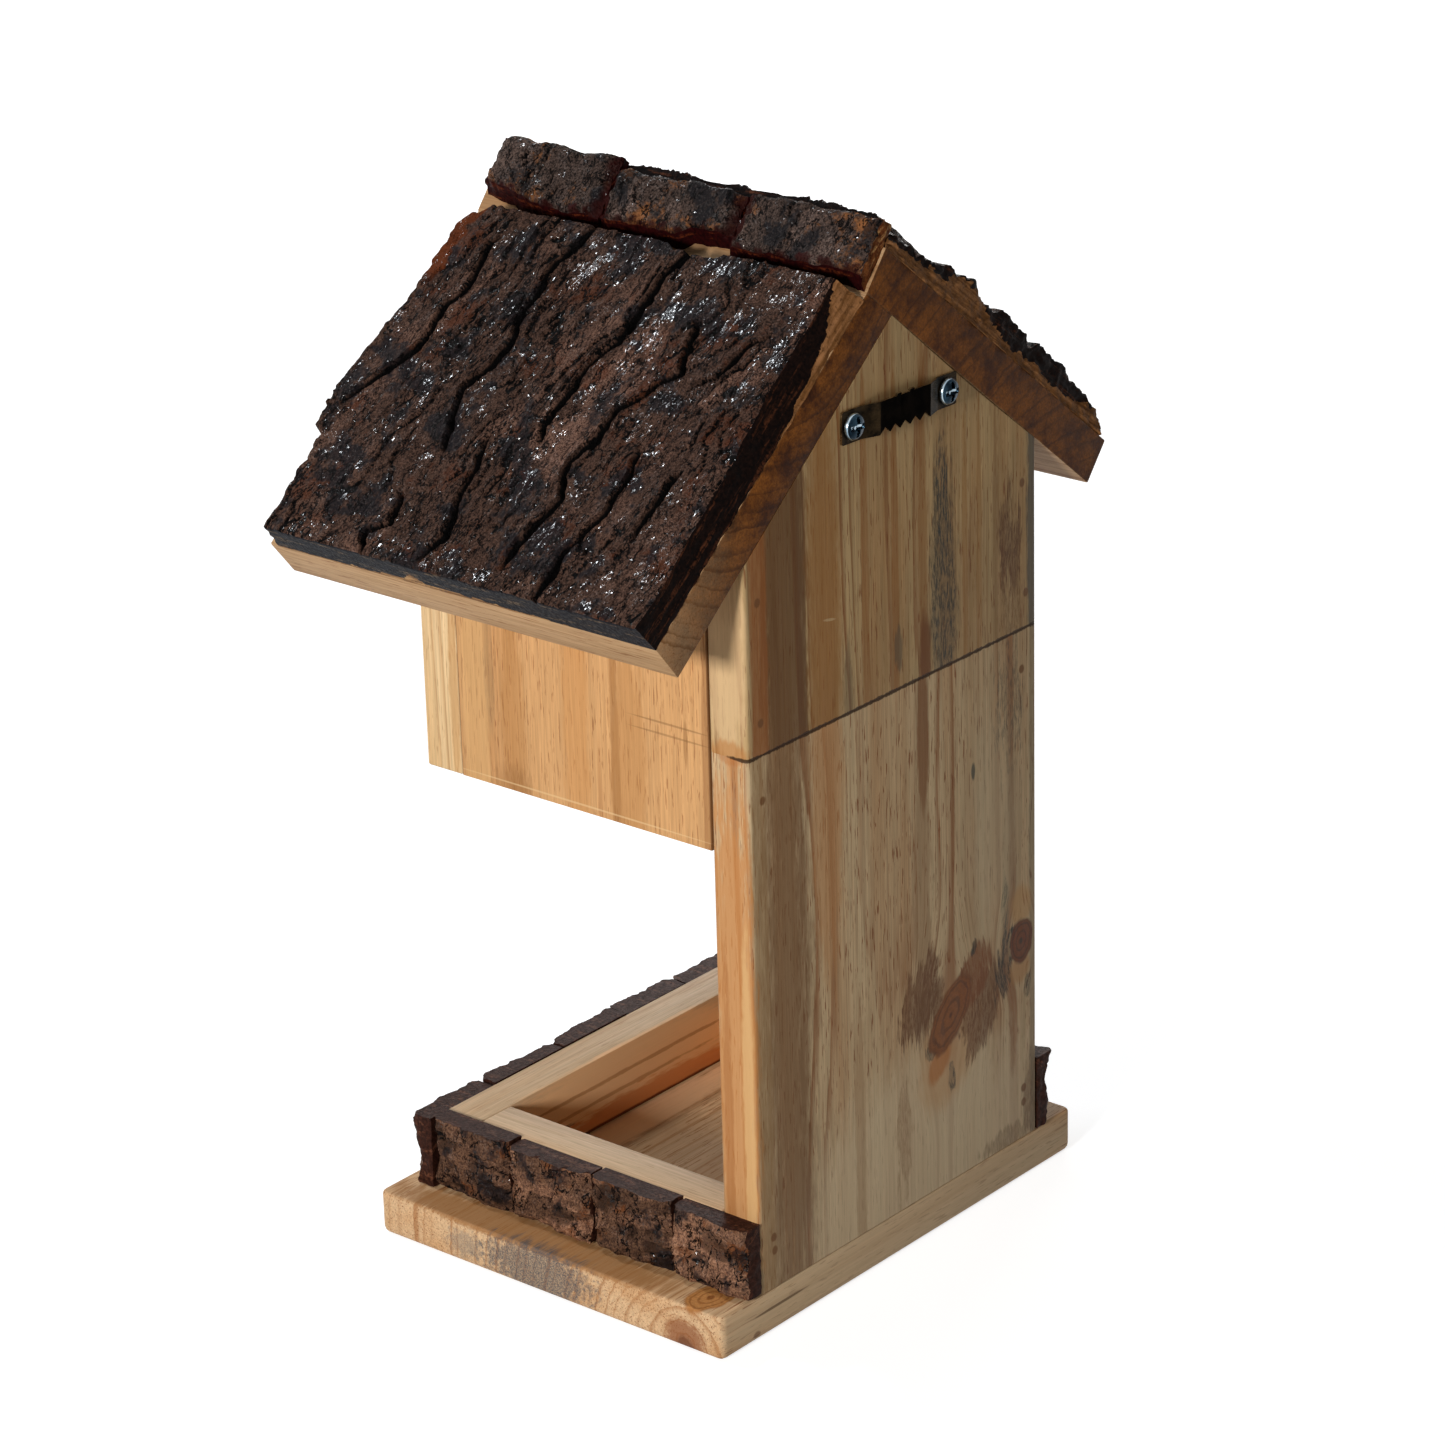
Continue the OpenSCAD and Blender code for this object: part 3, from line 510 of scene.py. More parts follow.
def roof_pine(name, pith):
    """Pine whose two ends are darkened by the oil that end grain drinks."""
    made = pine(name, "y", pith, "b5936d", "a6815b", "875c36", rings=0.75)
    nodes = made.node_tree.nodes
    shader = nodes["Principled BSDF"].inputs
    plain = shader["Base Color"].links[0].from_socket
    in_mm = stretched(node("TexCoord").outputs["Object"], (1000, 1000, 1000))
    facing = node("SeparateXYZ", {0: node("NewGeometry").outputs["True Normal"]}).outputs[1]
    down_roof = between(node("SeparateXYZ", {0: in_mm}).outputs[0], 62, 104, 1.0, 0.4)
    ends = times(between(math_of("ABSOLUTE", facing), 0.8, 0.95), down_roof)
    blotch = between(speckle(in_mm, (0.1, 0.1, 0.1), 5.0, 0.7), 0.36, 0.66)
    oiled = tinted(blotch, paint("7d4a1e"), paint("3d1d08"))
    oiled = tinted(times(nodes["grain"].outputs["Late"], 0.6), oiled, paint("2a1206"))
    oiled = shaded(oiled, between(speckle(in_mm, (1.3, 1.3, 1.3), 3.0, 0.7), 0.3, 0.7, 0.65, 1.3))
    shader["Specular IOR Level"].default_value = 0.06
    fit(shader["Base Color"], tinted(ends, plain, oiled))
    return made


for name, solid, slope, outline, near, pith in (
        ("right_roof_board", "roof_board_right", right_slope,
         [(0, 0), (EAVE_RIGHT, 0), (EAVE_RIGHT, ROOF_T), (RIGHT_TOP, ROOF_T)], FRONT, (50, -330, 0)),
        ("left_roof_board", "roof_board_left", left_slope,
         [(-LAP, 0), (EAVE_LEFT, 0), (EAVE_LEFT, ROOF_T), (-LAP, ROOF_T)], -BACK, (-90, -160, 0))):
    bm = sawn_board(outline, near, near + BACK - FRONT)
    ease(bm, 0.5, lambda mid, run: mid.x > 20, 2)
    bmesh.ops.transform(bm, matrix=slope, verts=bm.verts)
    board = piece_of(bm, name, [roof_pine(name.replace("_", " ") + " pine", pith)])
    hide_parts(solid)

# Roof bark: one slab of thick pine bark on each roof board, glued and nailed, with a skin of wood behind it.
# Long wandering fissures split it into plates; the right slab is sawn flush at the eave, and all is varnished.


def rough_sheet(columns, rows, steps):
    """Unit sheet whose rim is drawn down in steps and closed below; z counts the steps."""
    bm = bmesh.new()
    bmesh.ops.create_grid(bm, x_segments=columns, y_segments=rows, size=0.5)
    rim = [edge for edge in bm.edges if edge.is_boundary]
    for step in range(steps):
        drawn = bmesh.ops.extrude_edge_only(bm, edges=rim)["geom"]
        lower = [item for item in drawn if isinstance(item, bmesh.types.BMVert)]
        bmesh.ops.translate(bm, vec=(0, 0, -1), verts=lower)
        rim = [item for item in drawn if isinstance(item, bmesh.types.BMEdge) and item.is_boundary]
    bmesh.ops.contextual_create(bm, geom=rim)
    for face in bm.faces:
        middle = face.calc_center_median()
        if middle.z > -0.01:
            face.material_index = 0
        elif abs(middle.x) > 0.499:
            face.material_index = 1 if middle.x > 0 else 2
        else:
            face.material_index = 3 if middle.y > 0 else 4
    return bm


def eased_step(value, low, high):
    share = min(1, max(0, (value - low) / (high - low)))
    return share * share * (3 - 2 * share)


def along_line(points, at):
    """Height of a line through (x, y) points at one x."""
    for (x0, y0), (x1, y1) in zip(points, points[1:]):
        if at <= x1:
            return y0 + (y1 - y0) * min(1, max(0, (at - x0) / (x1 - x0)))
    return points[-1][1]


def bark_flakes(along, across, seed, pitch, lean=0.2):
    """Weathered bark at one place: (height, hollow, plate), from 0 to 1. Its flakes overlap like worn shingles."""
    skew = across - lean * along
    jag = noise.fractal(Vector((along / (2.6 * pitch), skew / (1.3 * pitch), seed)), 0.8, 2.1, 4)
    field = skew / pitch + 1.1 * jag
    flake = math.floor(field)
    share = field - flake
    loose = eased_step(noise.noise(Vector((along / 26, skew / 13, seed + 5))), -0.25, 0.4)
    edge = eased_step(share, 0, 0.07)
    tone = noise.cell(Vector((flake * 1.7 + 0.3, seed, math.floor(along / 40 + jag))))
    return loose * edge * (1 - share), loose * (1 - eased_step(1 - share, 0.02, 0.12)), tone


def bark_grit(along, across, seed):
    return noise.fractal(Vector((along / 1.5, across / 1.3, seed)), 0.6, 2.1, 3)


def cover_with_bark(bm, shape):
    """Sets every point of a sheet by shape(u, w, step) -> (place, hollow, plate, bare wood, red inner bark)."""
    layers = [bm.verts.layers.float.new(name) for name in ("hollow", "plate", "bare", "red")]
    for vert in bm.verts:
        spot, *shares = shape(vert.co.x + 0.5, vert.co.y + 0.5, round(-vert.co.z))
        vert.co = spot
        for layer, share in zip(layers, shares):
            vert[layer] = share
    bmesh.ops.recalc_face_normals(bm, faces=bm.faces)


# Weathered bark colour: brown plates with rust and blue-black patches, and black where the mesh is hollow, in the
# fissures and at the feet of the flakes: partly the bark's dark cracks, partly painted shade.
bark_skin, taken, given = new_group("weathered bark", {
    "Place": (0, 0, 0), "Hollow": 0.0, "Plate": 0.5, "Red": 0.0, "Inner": paint("602f17"),
    "Brown": paint("1c1210"), "Tan": paint("7d5d4e"), "Rust": paint("5e301a"), "Soot": paint("0d0f14"),
    "Rusty": 0.5, "Sooty": 0.85, "Varnish": 0.85,
}, {"Color": "Color", "Varnish": "Float", "Height": "Float"})
place = taken["Place"]
fine = speckle(place, (1.6, 1.6, 1.6), 4.0, 0.65)
mottle = speckle(place, (0.38, 0.55, 0.45), 5.0, 0.75)
grit = math_of("MULTIPLY_ADD", fine, 0.6, times(mottle, 0.4))
ragged = math_of("SUBTRACT", grit, 0.5)
cloud = speckle(place, (0.055, 0.055, 0.055), 5.0, 0.74)
shade = tinted(between(grit, 0.38, 0.62), taken["Brown"], taken["Tan"])
shade = shaded(shade, between(taken["Plate"], 0.0, 2.0, 0.55, 1.9))
shade = tinted(times(between(cloud, 0.53, 0.64), taken["Rusty"]), shade, taken["Rust"])
patch = speckle(stretched(place, (1, 1, -1)), (0.075, 0.075, 0.075), 4.0, 0.65)
patch = math_of("MULTIPLY_ADD", ragged, 0.25, patch)
sooty = times(between(patch, 0.515, 0.585), taken["Sooty"])
shade = tinted(sooty, shade, taken["Soot"])
crack = math_of("SUBTRACT", speckle(place, (0.07, 0.16, 0.11), 4.0, 0.6), 0.5)
crack = between(math_of("ABSOLUTE", crack), 0.006, 0.02, 1.0, 0.0)
crack = times(crack, between(cloud, 0.4, 0.48))
shade = tinted(times(crack, 0.95), shade, paint("060404"))
# Hollow places go black: partly dark cracks in the bark, partly painted shade in the fissures and under the flake
# edges.
split = math_of("MULTIPLY_ADD", ragged, 0.8, taken["Hollow"])
shade = tinted(between(split, 0.25, 0.5), shade, paint("050404"))
red = times(taken["Red"], between(grit, 0.36, 0.5, 0.6, 1.0))
fit(given["Color"], tinted(red, shade, taken["Inner"]))
# Varnish stands in pools and on the soot, and glints on the highest grains; it smooths the soot
pools = speckle(place, (0.12, 0.22, 0.14), 4.0, 0.7)
glaze = times(between(pools, 0.49, 0.59), taken["Varnish"])
glaze = math_of("MAXIMUM", glaze, times(sooty, 0.6))
glaze = times(glaze, between(fine, 0.57, 0.61, 0.04, 1.0))
fit(given["Varnish"], times(glaze, between(taken["Red"], 0.2, 0.8, 1.0, 0.3)))
height = math_of("MULTIPLY_ADD", fine, 0.8, times(mottle, 0.2))
height = times(height, between(sooty, 0.0, 1.0, 1.0, 0.55))
fit(given["Height"], math_of("SUBTRACT", height, crack))


def on_mesh(layer):
    """A share that a mesh carries at each of its points."""
    return node("Attribute", attribute_name=layer).outputs["Fac"]


def bark(name, **values):
    """Varnished bark that reads its fissures, plates and red inner bark from the mesh."""
    made, shader, in_mm = new_finish(name)
    own = {label: paint(value) if isinstance(value, str) else value for label, value in values.items()}
    skin = placed(bark_skin, Place=in_mm, Hollow=on_mesh("hollow"), Plate=on_mesh("plate"), Red=on_mesh("red"),
                  **own).outputs
    fit(shader["Coat Weight"], skin["Varnish"])
    shader["Coat Roughness"].default_value = 0.05
    height = skin["Height"]
    finished(shader, skin["Color"], between(height, 0.3, 0.7, 0.75, 0.5), height, 1.0, 0.0016, 0.05)
    return made


def cut_bark(name, dark, streak, line, sunk, wood="a9804f", sheen=0.02):
    """Sawn or torn edge of bark: dark cork with thin pale threads, and bare wood where the mesh says so."""
    made, shader, in_mm = new_finish(name)
    fine = speckle(in_mm, (0.9, 0.9, 0.9), 4.0, 0.65)
    down_slope = turned(vector_of("ABSOLUTE", in_mm), -PITCH)
    drift = speckle(down_slope, (0.045, 0.08, 0.75), 4.0, 0.65)
    colour = tinted(between(fine, 0.3, 0.75), paint(dark), paint(streak))
    thread = times(between(drift, 0.53, 0.66), between(fine, 0.35, 0.6))
    colour = tinted(times(thread, sunk), colour, paint(line))
    bare = math_of("MULTIPLY_ADD", fine, 0.8, math_of("SUBTRACT", on_mesh("bare"), 0.4))
    skin_wood = tinted(between(drift, 0.35, 0.62), paint(wood), paint("6b4626"))
    skin_wood = tinted(between(fine, 0.5, 0.68, 0.0, 0.6), skin_wood, paint("3a2412"))
    colour = tinted(between(bare, 0.45, 0.6), colour, skin_wood)
    finished(shader, colour, between(fine, 0.2, 0.8, 0.55, 0.35), fine, 0.4, 0.0005, sheen)
    return made


roof_bark_finish = bark("roof bark")
eave_cut = cut_bark("sawn bark at the eave", "121317", "232429", "8c7458", 0.45, "b08a5e")
torn_end = cut_bark("torn end of the bark", "060404", "1c100c", "5c3522", 0.7, "9e6f48")
# Millimetres: mean level of the plates, lift and length of their raised edges, depth of a fissure, greatest height
slab_level, plate_lift, plate_edge, fissure_depth, slab_thickest = 8.9, 1.7, 11, 3.52, 12.5
flake_pitch, chip_pitch = 9.0, 3.6
rim_steps = 9
slab_columns, slab_rows = 196, 372
head_gap = 5.1
glue_bite = 0.05
# Front edges and fissures, in shares of the slope from the ridge and of the roof's length from the back
right_front = [(0.04, 0.955), (0.09, 0.974), (0.28, 0.972), (0.48, 1.004), (0.66, 1.014), (0.7, 1.01), (0.72, 0.98),
               (0.86, 0.978), (1, 0.972)]
left_front = [(-0.12, 0.99), (0.08, 0.974), (0.25, 0.993), (0.4, 0.98), (0.55, 0.997), (0.75, 0.976), (1, 0.99)]
right_fissures = [
    [(0.12, 0.847), (0.28, 0.852), (0.329, 0.877), (0.409, 0.869), (0.465, 0.88), (0.513, 0.911), (0.569, 0.939),
     (0.633, 0.975)],
    [(0.03, 0.637), (0.107, 0.654), (0.192, 0.671), (0.296, 0.681), (0.365, 0.668), (0.457, 0.682), (0.529, 0.714),
     (0.609, 0.697), (0.689, 0.673)],
    [(0.03, 0.385), (0.12, 0.405), (0.192, 0.413), (0.292, 0.417), (0.381, 0.443), (0.497, 0.476), (0.577, 0.477),
     (0.609, 0.469)],
    [(0.23, 0.273), (0.293, 0.261), (0.365, 0.252), (0.442, 0.298), (0.485, 0.334), (0.569, 0.342), (0.649, 0.363),
     (0.737, 0.345), (0.809, 0.355), (0.871, 0.377), (0.938, 0.38)],
    [(0.633, 0.587), (0.713, 0.578), (0.817, 0.562), (0.897, 0.551), (0.973, 0.573)],
    [(0.821, 0.71), (0.905, 0.69), (0.941, 0.728), (1, 0.71)],
    [(0.572, 0.235), (0.665, 0.221), (0.748, 0.227), (0.861, 0.26), (1, 0.266)],
    [(0.229, 0.107), (0.296, 0.143), (0.356, 0.155), (0.387, 0.212)],
    [(0.606, 0.123), (0.681, 0.133), (0.785, 0.134)],
]
left_fissures = [
    [(-0.099, 0.15), (0.016, 0.137), (0.164, 0.164), (0.312, 0.143), (0.452, 0.184), (0.575, 0.171), (0.698, 0.212),
     (0.822, 0.198), (0.961, 0.225)],
    [(-0.066, 0.355), (0.082, 0.376), (0.197, 0.348), (0.337, 0.389), (0.493, 0.376), (0.608, 0.417), (0.723, 0.396)],
    [(0.115, 0.567), (0.247, 0.546), (0.386, 0.587), (0.518, 0.574), (0.657, 0.615), (0.805, 0.594), (0.953, 0.635)],
    [(-0.099, 0.71), (0.033, 0.738), (0.181, 0.717), (0.329, 0.758), (0.427, 0.745)],
    [(0.477, 0.792), (0.592, 0.772), (0.723, 0.813), (0.855, 0.799), (0.961, 0.827)],
    [(-0.082, 0.895), (0.099, 0.874), (0.247, 0.915), (0.394, 0.895), (0.542, 0.936), (0.69, 0.922)],
    [(0.247, 0.273), (0.362, 0.253), (0.477, 0.287)],
    [(0.69, 0.492), (0.822, 0.512), (0.92, 0.492)],
]
# The torn back end of the right slab stands back at the top; under both slabs a skin of wood shows
right_back = [(5, 5.6), (20, 4.8), (43, 5), (72, 2.8), (95, 2.8), (113, 1.5), (125, 1.5)]
right_skin = [(5, 8.6), (10.6, 7.2), (21.6, 3.4), (31.7, 2), (41, 1.4), (53, 0), (125, 0)]
eave_skin = [(0, -0.6), (36, -0.2), (44, 1.2), (50, 0.4), (60, 1.2), (84, 1.6), (88, 5), (93, 1.4), (120, 0.6),
             (147, 0.2)]
right_head = [(0, head_gap), (44, head_gap), (48, 7.5), (62, 7.5), (66, head_gap), (133, head_gap), (137, 8.5),
              (150, 8.5)]
left_end = [(-14.6, 18.2), (-11.7, 18.7), (0.6, 20.2), (8, 20.5), (22, 23.1), (31, 24.9), (40.7, 22.8), (52.6, 23.4),
            (65, 23.6), (67.6, 21.9), (74, 23.9), (84, 23.5), (91, 23.3), (97, 21.9), (106, 21.1), (112.5, 21),
            (119, 15)]
left_skin = [(-14.6, 3.2), (-4, 3.4), (6, 4.4), (18, 5.4), (22, 8.6), (38, 9.6), (43, 4.6), (60, 2.6), (74, 3.4),
             (88, 2.2), (100, 3.2), (106, 5.6), (119, 6)]
roof_long = BACK - FRONT


def torn(along, step, seed, depth):
    """How far a broken edge stands back at one step of its height, in millimetres."""
    return depth * noise.fractal(Vector((along / 5, step * 0.6, seed)), 0.8, 2, 3)


def in_millimetres(lines, eave):
    return [[(down * eave, away * roof_long) for down, away in line] for line in lines]


def fissured(down, away, lines, seed):
    """Lift and split of the plates at one place: (height in millimetres, hollow)."""
    wander = 1.4 * noise.fractal(Vector((down / 9, away / 9, seed)), 0.75, 2.1, 3)
    gape = 0.35 + noise.noise(Vector((down / 9, away / 9, seed + 3)))
    lifted, split = 0, 0
    for line in lines:
        if line[0][0] - 3 < down < line[-1][0] + 3:
            beyond = away - along_line(line, down) + wander
            ends = eased_step(min(down - line[0][0], line[-1][0] - down), -3, 5)
            if beyond > 0:
                split = max(split, ends * (1 - eased_step(beyond, 0, 0.6)))
                if beyond < plate_edge:
                    lifted = max(lifted, ends * plate_lift * (1 - beyond / plate_edge))
            else:
                split = max(split, ends * (1 - eased_step(-beyond, max(0.15, gape), max(1.0, gape + 0.9))))
    return lifted - fissure_depth * split, split


right_lines = in_millimetres(right_fissures, EAVE_RIGHT)
left_lines = in_millimetres(left_fissures, EAVE_LEFT)
left_foot = EAVE_LEFT - 3


def slab_top(down, away, lines, seed, chip_seed, fissure_seed, lean=0.2):
    """Top of a roof slab at one place: (height over the board, hollow, plate)."""
    flake, foot, plate_share = bark_flakes(down, away, seed, flake_pitch, lean)
    chip, chip_foot, _ = bark_flakes(down, away, chip_seed, chip_pitch)
    height, split = fissured(down, away, lines, fissure_seed)
    top = slab_level + height + 1.3 * flake + 0.5 * chip + 0.07 * bark_grit(down, away, seed)
    return top, max(split, min(1, 1.5 * foot), chip_foot), plate_share


def right_slab(u, w, step):
    rest = 1 - step / rim_steps
    down = head_gap + u * (EAVE_RIGHT - head_gap)
    back_v = along_line(right_back, down) * rest + torn(down, step, 3.1, 0.5) * (1 if step else 0.4)
    front_v = along_line(right_front, down / EAVE_RIGHT) * roof_long + torn(down, step, 5.3, 0.9)
    away = back_v + w * (front_v - back_v)
    head = along_line(right_head, away) + abs(torn(away, step, 8.8, 0.5))
    down = head + u * (EAVE_RIGHT - head)
    top, hollowed, plate_share = slab_top(down, away, right_lines, 1.7, 12.4, 4.4)
    top += eased_step(down, EAVE_RIGHT - 9, EAVE_RIGHT)
    if min(1 - u, w, 1 - w) < 0.004:
        top -= 0.4
    top = min(slab_thickest, max(4.2, top)) * rest
    red = eased_step(away - front_v + 5.5 + torn(down, 0, 2.2, 2), 0, 1) * (1 - eased_step(down, 30, 37))
    if u > 0.999:
        bare = along_line(eave_skin, away) + 0.6 * noise.fractal(Vector((away / 6, 0, 3)), 0.8, 2.1, 3) - top
    else:
        bare = along_line(right_skin, down) - top if w < 0.001 else -1
    spot = right_slope @ Vector((down, BACK - away, ROOF_T + top - (glue_bite if step == rim_steps else 0)))
    return spot, hollowed, plate_share, eased_step(bare, -0.3, 0.3), red


def left_slab(u, w, step):
    rest = 1 - step / rim_steps
    down = -LAP + u * (left_foot + LAP)
    back_v = 1.2 * rest + torn(down, step, 13.1, 0.9)
    front_v = along_line(left_front, down / EAVE_LEFT) * roof_long + torn(down, step, 15.3, 1.0)
    away = back_v + w * (front_v - back_v)
    bite = 3.2 * abs(noise.fractal(Vector((away / 17, 0, 18.8)), 0.9, 2.1, 3))
    down = -LAP + u * (left_foot - bite - torn(away, step, 9.8, 0.4) + LAP)
    top, hollowed, plate_share = slab_top(down, away, left_lines, 6.3, 16.4, 7.7, -0.12)
    top -= 3 * eased_step(down, 106, 119)
    end_share = 1 - eased_step(away, 2, 9)
    top += end_share * (along_line(left_end, down) + torn(down, 0, 21.4, 1.6) - ROOF_T - top)
    top = min(slab_thickest, max(1.6, top)) * rest
    bare = along_line(left_skin, down) + torn(down, step, 23.6, 1.6) - top if w < 0.001 else -1
    spot = left_slope @ Vector((down, away - BACK, ROOF_T + top - (glue_bite if step == rim_steps else 0)))
    return spot, hollowed, plate_share, eased_step(bare, -0.3, 0.3), 0


for name, solid, shape, finishes in (
        ("right_roof_bark", "roof_bark_right", right_slab,
         [roof_bark_finish, eave_cut, torn_end, torn_end, torn_end]),
        ("left_roof_bark", "roof_bark_left", left_slab,
         [roof_bark_finish, torn_end, torn_end, torn_end, torn_end])):
    bm = rough_sheet(slab_columns, slab_rows, rim_steps)
    cover_with_bark(bm, shape)
    slab = piece_of(bm, name, finishes, 70)
    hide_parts(solid)

# Ridge bark: three short strips of thinner bark glued over the lapped end of the left roof board.
# Their faces are grey-black with rust, and their cut edges and joints show dark red inner bark under varnish.
ridge_finish = bark("ridge bark", Inner="2c0a08", Brown="0d0b0b", Tan="7a645a", Rust="98623a", Soot="0e0f13",
                    Rusty=0.9, Varnish=1.0)
red_edge = cut_bark("inner bark", "150405", "2c0a0a", "7a3a1c", 0.4)
broken_end = cut_bark("broken end of the ridge bark", "4a2312", "7d4a26", "b78a58", 0.9)
ridge_steps = 4
bark_mesh = 0.5
for name, solid, first, last, foot, crest, seed in (
        ("rear_ridge_bark", "ridge_bark_rear", 0.9, 49.4, [(0, 0.6), (50, 0.6)], 20.8, 2.2),
        ("middle_ridge_bark", "ridge_bark_middle", 50.2, 98.4, [(50, 4.2), (64, 4.2), (69, 1), (99, 1.2)], 20.2, 5.9),
        ("front_ridge_bark", "ridge_bark_front", 99.2, 145.6, [(99, 0.8), (124, 1), (133, 4), (146, 6)], 23.4, 9.4)):
    def ridge_strip(u, w, step):
        rest = 1 - step / ridge_steps
        ends = torn(w * 20, step, seed, 0.7)
        away = first + ends + u * (last - first - ends + torn(w * 20, step, seed + 3, 0.7))
        lower = along_line(foot, away) + 3.2 * rest + torn(away, step, seed + 5, 0.5)
        lower += 0.8 * noise.noise(Vector((away / 7, seed, 0)))
        upper = crest + 1.2 * noise.noise(Vector((away / 9, seed, 4))) + torn(away, step, seed + 6, 0.4)
        climb = lower + w * (upper - lower)
        flake, brink, plate_share = bark_flakes(climb * 1.4, away, seed, 10, 0)
        chip, chip_brink, _ = bark_flakes(climb, away, seed + 7, 4, 0)
        top = 5.6 + 1.4 * flake + 0.5 * chip + 0.15 * bark_grit(climb, away, seed)
        top -= 1 - eased_step(min(u, 1 - u, w, 1 - w), 0.0, 0.07)
        top = min(8, max(2.4, top)) * rest
        fray = noise.fractal(Vector((away / 4, climb / 4, seed)), 0.7, 2.1, 3)
        near_end = last - away if solid == "ridge_bark_rear" else min(away - first, last - away)
        red = 0.9 * max(1 - eased_step(w + 0.2 * fray, 0.0, 0.1), 1 - eased_step(near_end + 2 * fray, 1.2, 3.4))
        top -= 1.8 * rest * (1 - eased_step(near_end + 2 * fray, 0.5, 3.8))
        spot = left_slope @ Vector((-LAP - top, away - BACK, climb))
        return spot, max(brink, 0.7 * chip_brink), plate_share, 0, red
    bm = rough_sheet(round((last - first) / bark_mesh), round(crest / bark_mesh), ridge_steps)
    cover_with_bark(bm, ridge_strip)
    rear_end = broken_end if solid == "ridge_bark_rear" else red_edge
    strip = piece_of(bm, name, [ridge_finish, red_edge, rear_end, red_edge, red_edge], 60)
    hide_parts(solid)

# Tray bark: thirteen sawn pieces of bark glued round the outside of the tray rails, a little off the base.
# Their outer faces are rough and mottled; their tops and ends are cut smooth and varnished dark brown.
tray_finish = bark("tray bark", Brown="48322a", Tan="966e54", Rust="824820", Soot="121014", Rusty=0.65, Varnish=0.8)
tray_cut = cut_bark("sawn tray bark", "22120d", "42261d", "6f4632", 0.6, sheen=0.03)
tray_steps, tray_rows = 4, 47
tray_foot, tray_top = 15.2, 38.7
tray_front = -55.7
saw_gap = 0.5
side_joins = [tray_front, -24.2, 8.4, 39.6, 68.9]
front_joins = [76, 46, 13.8, -17, -46.2, -76]
tray_tones = [0.25, 0.4, 0.85, 0.6, 0.5, 0.7, 1.15, 0.45]
# Dark glossy patches on the blocks that show most: along the block, up it, and how far they reach
dark_patches = {
    "tray_bark_right_1": [(0.62, 0.34, 0.3), (0.1, 0.8, 0.25)],
    "tray_bark_right_2": [(0.62, 0.2, 0.2), (0.3, 0.75, 0.2)],
    "tray_bark_right_3": [(0.7, 0.25, 0.34), (0.2, 0.85, 0.2)],
    "tray_bark_right_4": [(0.72, 0.86, 0.3), (0.95, 0.5, 0.12)],
}
tray_jobs = []
for place_number, (start, end) in enumerate(zip(side_joins, side_joins[1:]), 1):
    for side, side_name in ((1, "right"), (-1, "left")):
        tray_jobs.append((f"tray_bark_{side_name}_{place_number}", side, start + saw_gap, end - saw_gap))
for place_number, (start, end) in enumerate(zip(front_joins, front_joins[1:]), 1):
    tray_jobs.append((f"tray_bark_front_{place_number}", 0, start - saw_gap, end + saw_gap))
for number, (solid, side, start, end) in enumerate(tray_jobs):
    seed = 20.3 + 1.37 * number
    crest = tray_top + 1.3 * noise.noise(Vector((seed, 0.4, 0)))
    tone = tray_tones[number % len(tray_tones)]
    stand_out = 1.2 * noise.noise(Vector((seed * 3.1, 0.7, 2)))

    def tray_block(u, w, step):
        run = start + u * (end - start)
        run += torn(w * 24, step, seed + (2 if u > 0.5 else 5), 0.5) * (1 if min(u, 1 - u) < 0.001 else 0)
        lower = tray_foot + 1.1 * noise.noise(Vector((run / 9, seed, 2))) * (1 - w)
        up = lower + w * (crest - lower)
        flake, brink, plate_share = bark_flakes(run * 0.8, up * 1.2, seed, 9, 0)
        chip, chip_brink, _ = bark_flakes(run, up, seed + 7, 4, 0)
        hump = noise.fractal(Vector((run / 11, up / 9, seed)), 0.7, 2.1, 4)
        top = 6.7 + stand_out + 1.1 * flake + 0.5 * chip + 1.3 * hump + 0.12 * bark_grit(up, run, seed)
        top -= 1.7 * (1 - eased_step(min(u, 1 - u, 0.6 * w) + 0.03 * hump, 0.0, 0.07))
        top = min(9.4, max(4, top)) * (1 - step / tray_steps)
        dark = 0
        for mid_u, mid_w, reach in dark_patches.get(solid, ()):
            off = math.hypot((u - mid_u) / reach, (w - mid_w) / reach / 1.2)
            dark = max(dark, 0.37 * (1 - eased_step(off + 1.3 * hump, 0.3, 1.2)))
        shares = max(0.5 * brink, 0.35 * chip_brink, dark), 0.5 * plate_share + tone, 0, 0
        if side:
            return Vector((side * (half_wall + top), run, up)), *shares
        return Vector((run, tray_front - top, up)), *shares
    bm = rough_sheet(round(abs(end - start) / bark_mesh), tray_rows, tray_steps)
    cover_with_bark(bm, tray_block)
    block = piece_of(bm, solid.replace("tray_bark", "tray_block"), [tray_finish] + [tray_cut] * 4, 60)
    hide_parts(solid)

# Sawtooth hanger: a strip of plated steel, pressed out in the middle so that a nail can catch its teeth.
# Two screws through its flat ends hold it near the top of the back, a little out of level.
strip_half, strip_tall, strip_t = 26.5, 9.8, 0.8
raised_half, ramp_end, rise = 11.5, 17.6, 2.0
corner_from, corner_taper = 25.9, 0.92
nib_from, nib_to, nib_lean, nib_tall = 2.0, 4.0, 0.25, 0.9
hanger_aside, hanger_drop, hanger_tilt = -2.2, 27.8, -1.8
tooth_pitch, tooth_tip, tooth_root = 2.3, -4.9, -3.0
teeth = [(tooth_pitch * k, tooth_tip if k % 2 else tooth_root) for k in range(-5, 6)]
tooth_points = [(-strip_half, tooth_tip), *teeth, (strip_half, tooth_tip)]
bends = {side * x for side in (-1, 1) for x in (nib_from, nib_to, ramp_end, corner_from)}
stations = sorted({x for x, z in tooth_points} | bends)
bm = bmesh.new()
bmesh.ops.create_grid(bm, x_segments=len(stations) - 1, y_segments=1, size=0.5)
